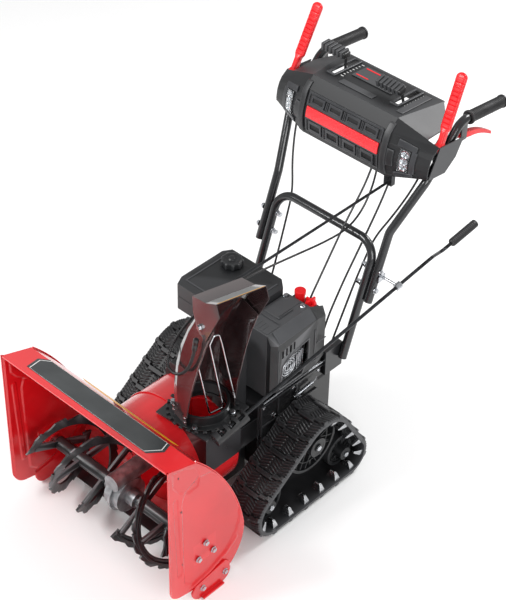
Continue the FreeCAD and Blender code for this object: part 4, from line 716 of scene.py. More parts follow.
@dataclass
class SidePlates:
    """The housing's two pressed end plates, with rolled front edges and stamped panels."""

    half: float = 310.0
    sheet: float = 3.0
    press: float = 3.2
    recessed: float = 2.6
    pocketed: float = 2.4
    ridged: float = 3.6
    lip: float = 4.2
    rings: int = 74
    heart: tuple = (128.0, 270.0)
    panel: tuple = ((62, 428), (112, 452), (154, 442), (200, 388), (235, 331), (258, 278), (264, 233),
                    (262, 190),
                    (250, 153), (218, 112), (150, 84), (84, 72), (58, 96), (56, 150), (52, 400))
    pocket: tuple = ((29, 425), (40, 145))
    recess: tuple = ((20, 528), (22, 476), (40, 448), (78, 418), (112, 420), (118, 452), (100, 496),
                     (60, 518))
    ridge: tuple = ((84, 62), (150, 72), (214, 100), (248, 128))
    holes: tuple = ((43, 498), (100, 443), (48, 375), (50, 178))

    def outline(self) -> np.ndarray:
        """The plate's edge: its arcs and corners, with points spread evenly by length between them.

        Returns:
            Rows (y, z).
        """
        back = arc_points(*BACK_CURVE, 40)
        heel = arc_points(BACK_CURVE[2], (268, 92), (224, 35), 18)
        corner = arc_points((45, 56), (12, 75), (0, 111), 16)
        edge = np.vstack([[(0, 546)], back, heel[1:], [(76, 49)], corner])
        closed = np.vstack([edge, edge[:1]])
        along = np.r_[0, np.cumsum(np.linalg.norm(np.diff(closed, axis=0), axis=1))]
        even = np.linspace(0, along[-1], 300, endpoint=False)
        keep = np.union1d(even, along[:-1])
        return np.stack([np.interp(keep, along, closed[:, k]) for k in (0, 1)], -1)

    def relief(self, points: np.ndarray) -> np.ndarray:
        """How far the sheet stands out at (y, z) points.

        The sum of a sunk panel, a sunk pocket, a sunk corner and a ridge, each an eased step of the
        distance to its line, and a lip that rises by the front edge.

        Args:
            points: Rows (y, z).

        Returns:
            One height a point.
        """
        def sunk(line: tuple, width: float) -> np.ndarray:
            """A step from 0 outside a closed line to 1 inside it, this wide."""
            gap = near_line(points, [list(p) for p in line], closed=True)
            return eased(0.5 + np.where(within(points, list(line)), gap, -gap) / width)

        out = -self.press * sunk(self.panel, 7.0)
        out -= self.recessed * sunk(self.recess, 6.0)
        out -= self.pocketed * eased((10.0 - near_line(points, [list(p) for p in self.pocket])) / 5.0)
        out += self.ridged * eased((9.0 - near_line(points, [list(p) for p in self.ridge])) / 7.0)
        out += self.lip * eased((8.0 - points[:, 0]) / 6.0)
        return out

    def build(self) -> None:
        """Make both plates: rings shrunk from the edge to a heart, lifted by the relief, with a back."""
        edge = self.outline()
        count = len(edge)
        share = 1 - np.linspace(0, 1, self.rings) ** 1.15
        heart = np.array(self.heart)
        flat = (heart + (edge - heart) * share[:-1, None, None]).reshape(-1, 2)
        flat = np.vstack([flat, heart])
        rise = self.relief(flat)
        outer = np.column_stack([self.half + rise, flat])
        inner = np.column_stack([self.half - self.sheet + rise, flat])
        last = (self.rings - 2) * count
        total = len(flat)
        sheet = grid_faces(self.rings - 1, count, wrap_columns=True)
        sheet += [[last + i, last + (i + 1) % count, total - 1] for i in range(count)]
        back = [[i + total for i in f][::-1] for f in sheet]
        rim = [[(i + 1) % count, i, i + total, (i + 1) % count + total] for i in range(count)]
        shape = np.vstack([outer, inner]), sheet + back + rim
        for side, made in (("left", shape), ("right", mirrored(shape))):
            plate = piece(f"side_plate_{side}", *made, RED_COAT, "machine", smooth=50)
            if side == "left":
                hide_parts("side_plates")
        # Black discs on the plates: painted shade of the holes.
        dots = []
        for y, z in self.holes:
            lift = self.half + self.relief(np.array([[y, z]]))[0]
            dots.append(turned([(-0.4, 0), (-0.4, 3.4), (0.25, 3.4), (0.25, 0)], (lift, y, z), (1, 0.25, 0),
                               16))
        holes = gathered(dots)
        piece("plate_holes_left", *holes, OPENING_SHADE_BLACK, "machine")
        piece("plate_holes_right", *mirrored(holes), OPENING_SHADE_BLACK, "machine")


@dataclass
class HousingTrim:
    """Labels and folds on top of the auger housing."""

    top: float = 546.0
    fall: float = 0.3366
    label: tuple = ((-238, 25), (-256, 77), (-237, 102), (219, 101), (236, 64), (217, 19))
    stripe: tuple = ((-150, 138), (-60, 136), (60, 134), (216, 131), (206, 121), (60, 122), (-60, 124),
                     (-128, 127))
    half: float = 307.0
    drum_centre: tuple = (300.0, 223.0)

    def on_top(self, flat: tuple | list, lift: float) -> np.ndarray:
        """Lay points on the sloping top, or past its rear fold on the curved back.

        Args:
            flat: Pairs (x, y).
            lift: How far above the sheet.

        Returns:
            Rows (x, y, z).
        """
        pairs = np.asarray(flat, float)
        rear = np.maximum(pairs[:, 1] - 101.0, 0.0)
        z = self.top - self.fall * np.minimum(pairs[:, 1], 101.0) - 0.95 * rear
        return np.column_stack([pairs, z]) + lift * np.array([0, 0.45, 0.9])

    def build(self) -> None:
        """A chamfered dark label with a thin pale border, a yellow stripe, and folded edges."""
        up = np.array([0, self.fall, 1.0]) / math.hypot(self.fall, 1)
        face = self.on_top(self.label, 0.2)
        piece("top_label", *slab(face, up * 0.7), LABEL_GREY, "machine", 0.3)
        middle = face.mean(0)
        outer, inner = (middle + (face - middle) * share + up * 0.7 for share in (0.965, 0.955))
        count = len(face)
        ring = np.vstack([outer, inner, outer + up * 0.25, inner + up * 0.25])
        faces = []
        for i in range(count):
            j = (i + 1) % count
            faces += [[2 * count + i, 2 * count + j, 3 * count + j, 3 * count + i],
                      [i, j, 2 * count + j, 2 * count + i],
                      [count + j, count + i, 3 * count + i, 3 * count + j], [j, i, count + i, count + j]]
        piece("label_border", ring, faces, LABEL_WHITE, "machine")
        band = self.on_top(self.stripe, 1.6)
        piece("yellow_stripe", *slab(band, np.array([0, 0.5, 0.7])), LABEL_YELLOW, "machine")
        lip = np.array([[-self.half, 3.6, 542.0], [self.half, 3.6, 542.0]])
        piece("mouth_hem", *tube_along(lip, circle(3.4, 16)), RED_COAT, "machine")
        seam = arc_points(*BACK_CURVE, 30)
        for side in (-1, 1):
            path = np.column_stack([np.full(30, side * (self.half - 1.0)), seam + np.array([1.6, 1.6])])
            piece(f"back_weld_{'left' if side > 0 else 'right'}", *tube_along(path, circle(2.2, 8)), RED_COAT,
                  "machine")
        y, z = self.drum_centre
        turn = round_turn(120)
        drum = low_high("impeller_drum")[1][2] - z
        path = np.stack([(drum + 1.2) * np.cos(turn), np.full(120, y), z + (drum + 1.2) * np.sin(turn)], -1)
        piece("drum_band", *tube_along(path, circle(2.4, 8), closed=True), RED_COAT, "machine")


@dataclass
class DashFront:
    """The faceted front of the dash: badge, framed vents and lamps."""

    middle: float = 150.0
    end: float = 272.0
    mid_section: tuple = ((1000, 850), (982, 857), (973, 881), (970, 922), (971, 934), (979, 968), (990, 998),
                          (1019, 1026))
    end_section: tuple = ((1030, 886), (1006, 893), (1005, 902), (1007, 918), (1009, 930), (1016, 948),
                          (1026, 962), (1046, 976))
    badge: tuple = (128.0, 0.445, 0.665)
    vents: tuple = ((126.0, 0.69, 0.83), (124.0, 0.27, 0.42))
    cells: int = 4
    section_length: float = 175.0

    def on_front(self, x: np.ndarray, share: np.ndarray, lift: float) -> np.ndarray:
        """Points on the front: each section is walked by its share, and blended out to the ends.

        Args:
            x: Distances across.
            share: Places up the section, from 0 at its foot to 1 at its top.
            lift: How far out of the panel.

        Returns:
            Points, in the shape of x and share.
        """
        x, share = np.broadcast_arrays(np.asarray(x, float), np.asarray(share, float))
        blend = np.clip((np.abs(x) - self.middle) / (self.end - self.middle), 0, 1)[..., None]
        place = share * (len(self.mid_section) - 1)
        steps = np.arange(len(self.mid_section))

        def at(section: tuple) -> np.ndarray:
            """The section's (y, z) at each place."""
            corners = np.asarray(section, float)
            return np.stack([np.interp(place, steps, corners[:, k]) for k in (0, 1)], -1)

        flat = at(self.mid_section) * (1 - blend) + at(self.end_section) * blend
        return np.stack([x, flat[..., 0] - lift * 0.95, flat[..., 1] + lift * 0.1], -1)

    def plate(self, corners: list, base: float, thick: float) -> Shape:
        """A plate that follows the front.

        Args:
            corners: Pairs (x, share) in order.
            base: How far out it begins.
            thick: How thick it is.

        Returns:
            Points and faces.
        """
        line = np.asarray(corners + corners[:1], float)
        fine = np.concatenate([np.linspace(a, b, 6, endpoint=False) for a, b in zip(line, line[1:])])
        low = self.on_front(fine[:, 0], fine[:, 1], base)
        high = self.on_front(fine[:, 0], fine[:, 1], base + thick)
        count = len(fine)
        middle = np.stack([low.mean(0), high.mean(0)])
        points = np.vstack([low, high, middle])
        faces = grid_faces(2, count, wrap_columns=True)
        faces += [[(i + 1) % count, i, 2 * count] for i in range(count)]
        faces += [[count + i, count + (i + 1) % count, 2 * count + 1] for i in range(count)]
        return points, faces

    def bar(self, x0: float, x1: float, s0: float, s1: float, base: float, thick: float) -> Shape:
        """A bar that follows the front: a grid of its outer face, its inner face and the rim.

        Args:
            x0: Its lower x.
            x1: Its higher x.
            s0: Its lower share of the section.
            s1: Its higher share.
            base: How far out it begins.
            thick: How thick it is.

        Returns:
            Points and faces.
        """
        rows, columns = 8, 3
        x, share = np.meshgrid(np.linspace(x0, x1, columns), np.linspace(s0, s1, rows))
        low = self.on_front(x, share, base).reshape(-1, 3)
        high = self.on_front(x, share, base + thick).reshape(-1, 3)
        faces = grid_faces(rows, columns)
        total = rows * columns
        ring = list(range(columns)) + [columns * r + columns - 1 for r in range(1, rows)]
        ring += [total - 1 - c for c in range(1, columns)] + [columns * r for r in range(rows - 2, 0, -1)]
        rim = [[a, b, b + total, a + total] for a, b in zip(ring, ring[1:] + ring[:1])]
        return np.vstack([low,
                          high]), [f[::-1] for f in faces] + [[i + total for i in f] for f in faces] + rim

    def framed(self, x0: float, x1: float, s0: float, s1: float, wide: float, lift: float,
               thick: float) -> list:
        """Four bars round an opening.

        Args:
            x0: The frame's lower x.
            x1: Its higher x.
            s0: Its lower share of the section.
            s1: Its higher share.
            wide: The bars' width.
            lift: How far out they begin.
            thick: How thick they are.

        Returns:
            Four pairs of points and faces.
        """
        tall = wide / self.section_length
        return [self.bar(x0, x1, s0, s0 + tall, lift, thick), self.bar(x0, x1, s1 - tall, s1, lift, thick),
                self.bar(x0, x0 + wide, s0 + tall, s1 - tall, lift, thick),
                self.bar(x1 - wide, x1, s0 + tall, s1 - tall, lift, thick)]

    def build(self) -> None:
        """Badge, vents, ribs and lamps."""
        half, low, high = self.badge
        badge = piece("dash_badge", *self.bar(-half, half, low, high, 0.2, 5.0), BADGE_RED, "machine", 1.2)
        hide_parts("dash_panels")
        frames, pits, ticks = [], [], []
        for half, low, high in self.vents:
            frames += self.framed(-half - 6, half + 6, low - 0.02, high + 0.02, 5.0, 0.2, 2.2)
            pitch = 2 * half / self.cells
            for k in range(self.cells):
                x0, x1 = -half + k * pitch + 7, -half + (k + 1) * pitch - 9
                frames += self.framed(x0, x1, low + 0.012, high - 0.012, 5.5, 0.2, 4.6)
                # A near-black inset in each cell: painted shade of the vent's depth.
                pits.append(self.bar(x0 + 5, x1 - 5, low + 0.035, high - 0.035, 0.2, 1.4))
                if k:
                    x = -half + k * pitch
                    ticks.append(self.bar(x - 4.5, x - 1.5, low + 0.02, high - 0.02, 0.2, 3.4))
                    ticks.append(self.bar(x + 0.5, x + 3.5, low + 0.02, high - 0.02, 0.2, 3.4))
        piece("vent_frames", *gathered(frames), VENT_ABS, "machine", 0.7)
        piece("vent_pits", *gathered(pits), OPENING_SHADE_BLACK, "machine")
        piece("vent_ticks", *gathered(ticks), VENT_ABS, "machine", 0.5)
        shoulders = []
        for side in (-1, 1):
            shoulders.append(self.bar(*across(side, 137.0, 156.0), 0.2, 0.95, 0.1, 7.0))
            shoulders.append(self.bar(*across(side, 156.0, 176.0), 0.36, 0.66, 0.1, 5.0))
        piece("front_shoulders", *gathered(shoulders), CHARCOAL_ABS, "machine", 2.4)
        arms, wells, bowls = [], [], []
        for side in (-1, 1):
            for x0, x1, s0, s1 in ((180, 232, 0.75, 0.84), (222, 236, 0.3, 0.75), (180, 232, 0.2, 0.3)):
                arms.append(self.bar(*across(side, x0, x1), s0, s1, 0.1, 5.5))
            wells.append(self.bar(*across(side, 190.0, 220.0), 0.31, 0.74, 0.1, 1.2))
            for share in (0.39, 0.525, 0.66):
                seat = self.on_front(side * 205.0, share, 1.4)
                bowls.append(turned([(0, 0), (0.4, 4.0), (1.6, 8.0), (3.6, 10.2), (3.6, 11.4), (0, 11.4)],
                                    seat, (side * 0.32, -0.94, 0.1), 28))
        piece("lamp_arms", *gathered(arms), VENT_ABS, "machine", 1.4)
        piece("lamp_wells", *gathered(wells), OPENING_SHADE_BLACK, "machine")
        piece("lamp_bowls", *gathered(bowls), REFLECTOR, "machine")
        windows = gathered([self.bar(*across(side, 191.0, 219.0), 0.315, 0.735, 5.4, 0.9)
                            for side in (-1, 1)])
        cover = piece("lamp_windows", *windows, CLEAR, "machine", 0.3)
        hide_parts("headlamps")


@dataclass
class DashTop:
    """What stands on the dash's top: slot frames, scale marks, light bands and raised pads."""

    ridge: tuple = (1019.5, 1026.0)
    fall: float = 0.0851
    slots: tuple = ((-121.0, 1066.0, 1174.0), (100.0, 1072.0, 1172.0))

    def slab_on_top(self, x0: float, x1: float, y0: float, y1: float, thick: float) -> Shape:
        """A pad that follows the top's slope.

        Args:
            x0: Its lower x.
            x1: Its higher x.
            y0: Its front.
            y1: Its rear.
            thick: How far it stands up.

        Returns:
            Points and faces.
        """
        flat = np.array([[x0, y0], [x1, y0], [x1, y1], [x0, y1]], float)
        z = self.ridge[1] - self.fall * (flat[:, 1] - self.ridge[0]) + 0.1
        return slab(np.column_stack([flat, z]), np.array([0, 0, thick]))

    def build(self) -> None:
        """Frames round the slots, a scale beside each, and the pads between them."""
        frames, marks, pads = [], [], []
        for x, y0, y1 in self.slots:
            frames += [self.slab_on_top(x - 15, x - 9, y0 - 4, y1, 5.0),
                       self.slab_on_top(x + 9, x + 15, y0 - 4, y1, 5.0),
                       self.slab_on_top(x - 15, x + 15, y0 - 10, y0 - 4, 5.0)]
            for k in range(8):
                y = y0 + 8 + k * (y1 - y0 - 20) / 7
                marks.append(self.slab_on_top(x + 21, x + (31 if k % 7 == 0 else 27), y, y + 2.4, 0.5))
        pads.append(self.slab_on_top(-78, 40, 1040, 1062, 3.0))
        pads.append(self.slab_on_top(-80, 60, 1098, 1164, 4.0))
        pads.append(self.slab_on_top(124, 146, 1042, 1168, 3.0))
        piece("slot_frames", *gathered(frames), VENT_ABS, "machine", 1.0)
        piece("slot_scales", *gathered(marks), LABEL_WHITE, "machine")
        piece("dash_pads", *gathered(pads), CHARCOAL_ABS, "machine", 1.6)
        strip = gathered([self.slab_on_top(-72, 52, 1150, 1155, 4.8),
                          self.slab_on_top(-72, -30, 1106, 1110, 4.8)])
        piece("dash_red_stripes", *strip, BADGE_RED, "machine")


@dataclass
class ClutchLevers:
    """Two red levers: a flared foot, fine finger grooves down the front and a rounded tip."""

    pivot: tuple = (262.0, 1062.0, 964.0)
    tip: tuple = (252.0, 1149.0, 1154.0)
    waves: int = 11
    hub: float = 15.0
    bore: float = 4.05

    def shape(self) -> Shape:
        """The left lever: rings of a rounded section along the line, its depth cut by eased grooves.

        Returns:
            Points and faces.
        """
        base, end = np.array(self.pivot), np.array(self.tip)
        along = unit(end - base)
        wide = unit(np.array([1.0, 0, 0]) - along * along[0])
        deep = np.cross(along, wide)
        share = np.r_[np.linspace(0.02, 0.93, 110), np.linspace(0.935, 1.0, 22)]
        width = 8.4 + 6.8 * eased((share - 0.2) / 0.08) + 1.2 * share
        depth = 11.0 - 3.0 * eased((share - 0.2) / 0.1)
        ending = np.clip((share - 0.93) / 0.07, 0, 1)
        close = np.sqrt(np.clip(1 - ending ** 2, 0.0004, 1))
        beat = (share - 0.27) / 0.66 * self.waves
        wave = -2.2 * eased((0.13 - np.abs((beat + 0.5) % 1.0 - 0.5)) / 0.06) * eased((share - 0.25) / 0.04)
        wave *= 1 - eased((share - 0.9) / 0.04)
        turn = round_turn(40)
        c, s = np.cos(turn), np.sin(turn)
        round_c, round_s = np.sign(c) * np.abs(c) ** 0.62, np.sign(s) * np.abs(s) ** 0.62
        front = np.clip(s, 0, 1) ** 0.5
        a = width[:, None] * close[:, None] * round_c
        b = (depth[:, None] + wave[:, None] * front) * close[:, None] * round_s
        centre = base + (end - base) * share[:, None]
        points = centre[:, None, :] + a[..., None] * wide + b[..., None] * -deep
        rows, count = len(share), len(turn)
        faces = grid_faces(rows, count, wrap_columns=True)
        faces += [list(range(count))[::-1], list(range((rows - 1) * count, rows * count))]
        return points.reshape(-1, 3), faces

    def build(self) -> None:
        """The shaft, hub and shoulder of each lever."""
        ring = [(-9, self.bore), (-9, self.hub - 1.5), (-7.5, self.hub), (7.5, self.hub), (9, self.hub - 1.5),
                (9, self.bore), (-9, self.bore)]
        hub = turned(ring, self.pivot, (1, 0, 0), 40)
        left = gathered([self.shape(), hub])
        for name, made in (("left", left), ("right", mirrored(left))):
            lever = piece(f"clutch_lever_{name}.shaped", *made, RED_NYLON, f"clutch_{name}", smooth=40)
            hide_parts(f"clutch_lever_{name}")


@dataclass
class HandGrips:
    """Ribbed rubber grips on the handles and on the crank."""

    start: tuple = (250.0, 1197.0, 990.0)
    end: tuple = (251.0, 1345.0, 973.0)
    bore: float = 12.7
    ribs: int = 26

    def profile(self, length: float, radius: float, bore: float) -> list:
        """A flared collar, rounded ribs as a raised sine, and a domed end cap.

        Args:
            length: The grip's length.
            radius: Its radius over the ribs.
            bore: The hole's radius.

        Returns:
            Pairs of distance and radius.
        """
        along = np.linspace(9, length - 7, self.ribs * 6)
        rib = radius - 1.3 + 1.5 * np.abs(np.sin(np.pi * (along - 9) / (length - 16) * self.ribs)) ** 0.6
        points = [(0.0, bore), (0.0, radius + 1.5), (1.5, radius + 3), (5.0, radius + 3), (8.0, radius - 0.5)]
        points += list(zip(along, rib))
        return points + [(length - 6.5, radius + 1.8), (length - 1.5, radius + 1.8), (length, radius - 1),
                         (length, 0.01)]

    def build(self) -> None:
        """Both handle grips, then the crank's."""
        a, b = np.array(self.start), np.array(self.end)
        shape = turned(self.profile(np.linalg.norm(b - a) + 5, 17.0, self.bore), a, unit(b - a), 48)
        left = piece("handle_grip_left", *shape, GRIP_RUBBER, "machine", smooth=50)
        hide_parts("handle_grips")
        piece("handle_grip_right", *mirrored(shape), GRIP_RUBBER, "machine", smooth=50)
        joint = joint_named("crank_grip_spin")
        seat = np.array(joint["pos_m"]) / MM
        profile = [(30.0, 5.2), (30.0, 9.0), (32.0, 10.6)]
        along = np.linspace(33, 118, 150)
        profile += list(zip(along, 11.0 + 0.9 * np.abs(np.sin((along - 33) / 85 * np.pi * 15)) ** 0.6))
        profile += [(122.0, 11.6), (125.0, 10.0), (126.0, 0.01)]
        crank = piece("crank_grip_ribbed", *turned(profile, seat, unit(joint["axis"]), 40), GRIP_RUBBER,
                      "crank_handle", smooth=50)
        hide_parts("crank_grip")


@dataclass
class TrackBelts:
    """Moulded belts: stepped bars, fine ribs between them, and bright steel fins inside."""

    circles: tuple = ((424.5, 82.5, 72.5), (614.0, 180.0, 105.0), (736.0, 70.0, 60.0))
    inner: float = 175.0
    wide: float = 128.0
    skin: float = 8.0
    lug: float = 9.6
    pitch: float = 64.5
    ribs: int = 7
    rib_rise: float = 2.8
    pad_rise: float = 3.0
    rim_rise: float = 3.4
    steps: int = 42

    def loop(self) -> tuple[np.ndarray, np.ndarray]:
        """The belt's outer line: three arcs with tangents between them.

        Returns:
            Points (y, z), and their outward directions.
        """
        count = len(self.circles)
        leave = []
        for k in range(count):
            (y1, z1, r1), (y2, z2, r2) = self.circles[k], self.circles[(k + 1) % count]
            leave.append(math.atan2(z2 - z1, y2 - y1) + math.acos((r1 - r2) / math.hypot(y2 - y1, z2 - z1)))
        places, outs = [], []
        for k, (y, z, r) in enumerate(self.circles):
            start, end = leave[k - 1], leave[k]
            while end > start:
                end -= FULL_TURN
            turn = np.linspace(start, end, 80)
            out = np.stack([np.cos(turn), np.sin(turn)], -1)
            places.append(np.array([y, z]) + r * out)
            outs.append(out)
        return np.vstack(places), np.vstack(outs)

    def spread(self, shares: np.ndarray) -> tuple[np.ndarray, np.ndarray, float]:
        """Walk the loop by shares of its length.

        Args:
            shares: Places, from 0 to 1.

        Returns:
            Points (y, z), their outward directions, and the loop's length.
        """
        places, outs = self.loop()
        places, outs = np.vstack([places, places[:1]]), np.vstack([outs, outs[:1]])
        along = np.r_[0, np.cumsum(np.linalg.norm(np.diff(places, axis=0), axis=1))]
        at = shares * along[-1]
        point = np.stack([np.interp(at, along, places[:, k]) for k in (0, 1)], -1)
        out = np.stack([np.interp(at, along, outs[:, k]) for k in (0, 1)], -1)
        return point, out / np.linalg.norm(out, axis=1)[:, None], along[-1]

    def bars(self) -> tuple[int, float]:
        """How many bars the loop takes, and their pitch then."""
        total = self.spread(np.zeros(1))[2]
        number = round(total / self.pitch)
        return number, total / number

    def tread(self, phase: np.ndarray, x: np.ndarray, pitch: float) -> np.ndarray:
        """Height of the tread.

        A bar stands at each whole phase, with its middle stepped forward and its ends back; ribs are
        an eased cosine in phase that leans with the distance from the middle, and the rims are raised.

        Args:
            phase: Places round the belt, in bars.
            x: Places across it.
            pitch: The distance from bar to bar.

        Returns:
            Heights, for each phase and x.
        """
        centre = self.inner + self.wide / 2
        off = np.abs(x - centre)
        step = 9.0 * eased((30.0 - off) / 5.0) - 5.0 * eased((off - 48.0) / 4.0)
        gap = np.abs((phase + step / pitch + 0.5) % 1.0 - 0.5) * pitch
        bar = self.lug * eased((8.0 - gap) / 2.2)
        lean = 0.42 * off / pitch * np.where(off > 32, -1.0, 1.0)
        beat = np.cos((phase + lean) * FULL_TURN * self.ribs)
        ribs = self.rib_rise * eased((beat - 0.1) / 0.35) * eased((off - 4) / 2.0)
        ribs *= 1 - 0.6 * ((off > 30.5) & (off < 34.0))
        between = np.abs((phase + 0.5 + step / pitch + 0.5) % 1.0 - 0.5) * pitch
        plate = self.pad_rise * eased((24.0 - between) / 2.0)
        rim = self.rim_rise * eased((off - self.wide / 2 + 7.0) / 2.5)
        return np.maximum(np.maximum(bar, np.minimum(ribs + plate, 5.4)), rim)

    def belt(self) -> Shape:
        """The left belt: a ring of points across, outside with its tread and inside plain.

        Returns:
            Points and faces.
        """
        number, pitch = self.bars()
        rows = number * self.steps
        shares = np.arange(rows) / rows
        point, out, _ = self.spread(shares)
        phase = shares * number
        x_out = np.linspace(self.inner, self.inner + self.wide, 45)
        height = self.tread(phase[:, None], x_out[None, :], pitch)
        height[:, [0, -1]] = 0.0
        x_in = np.linspace(self.inner + self.wide, self.inner, 9)
        lift = np.hstack([height, np.full((rows, len(x_in)), -self.skin)])
        across = np.r_[x_out, x_in]
        flat = point[:, None, :] + out[:, None, :] * lift[..., None]
        points = np.concatenate([np.broadcast_to(across[None, :, None], flat.shape[:2] + (1,)), flat], -1)
        return points.reshape(-1, 3), grid_faces(rows, len(across), True, True)

    def fins(self) -> Shape:
        """Steel wedges inside the belt: a broad foot that narrows to a blunt ridge.

        Returns:
            Points and faces.
        """
        number = self.bars()[0]
        point, out, _ = self.spread(np.arange(number) / number)
        low_x, high_x = self.inner + self.wide - 42, self.inner + self.wide - 6
        parts = []
        for here, way in zip(point, out):
            along = np.array([-way[1], way[0]])
            rings = []
            for depth, reach, inset in ((self.skin - 1.0, 10.5, 0.0), (self.skin + 3.0, 9.5, 1.0),
                                        (self.skin + 20.0, 4.6, 8.0), (self.skin + 24.0, 2.6, 11.0)):
                middle = here - way * depth
                corners = [(low_x + inset, -reach), (high_x - inset, -reach), (high_x - inset, reach),
                           (low_x + inset, reach)]
                rings.append([[x, *(middle + along * a)] for x, a in corners])
            points = np.array(rings).reshape(-1, 3)
            parts.append((points, grid_faces(4, 4, wrap_columns=True) + [[3, 2, 1, 0], [12, 13, 14, 15]]))
        return gathered(parts)

    def build(self) -> None:
        """Both belts, and their fins."""
        belt, fins = self.belt(), self.fins()
        for name, shape, inside in (("left", belt, fins), ("right", mirrored(belt), mirrored(fins))):
            made = piece(f"track_{name}", *shape, TRACK_RUBBER, "machine", smooth=38)
            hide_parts(f"track_belt_{name}")
            piece(f"track_fins_{name}", *inside, FIN_STEEL, "machine", 1.0)


@dataclass
class TrackWheels:
    """Moulded wheel faces: curved webs, a stepped hub and its nut, over the frame's wheels."""

    wheels: tuple = (("drive_axle", 614.0, 180.0, 96.5, 30.0, 8),
                     ("front_idler_pair", 424.5, 82.5, 64.0, 20.0, 6),
                     ("rear_idler_pair", 736.0, 70.0, 51.5, 20.0, 6))
    face: float = 248.0

    def build(self) -> None:
        """For each wheel: ribs that sweep from hub to rim, a ring between them and a nut."""
        for body, y, z, radius, hub, spokes in self.wheels:
            parts = []
            for k in range(spokes):
                for lean in (-0.16, 0.16):
                    reach = np.linspace(hub - 1, radius - 7, 9)
                    swing = FULL_TURN * k / spokes + lean * np.sin(np.linspace(0, math.pi / 2, 9)) * 1.6
                    path = np.stack([np.full(9, self.face - 2), y + reach * np.cos(swing),
                                     z + reach * np.sin(swing)], -1)
                    parts.append(tube_along(path, np.array([[-7, -1.6], [5, -1.6], [5, 1.6], [-7, 1.6]])))
            middle = (hub + radius) / 2
            parts.append(turned([(-3, middle - 1.5), (4, middle - 1.5), (4, middle + 1.5), (-3, middle + 1.5),
                                 (-3, middle - 1.5)], (self.face, y, z), (1, 0, 0), 48))
            parts.append(turned([(6, hub - 9), (6, hub - 1), (28.5, hub - 3), (28.5, hub - 9), (6, hub - 9)],
                                (self.face, y, z), (1, 0, 0), 40))
            piece(f"wheel_webs_{body}", *both_sides(parts), DARK_ABS, body, 0.6)
            nut = turned([(25, 0), (25, 9.5), (33, 9.5), (34.5, 8.0), (34.5, 0)], (self.face, y, z),
                         (1, 0, 0), 6)
            piece(f"wheel_nuts_{body}", *both_sides([nut]), ZINC, body, 0.8, smooth=20)


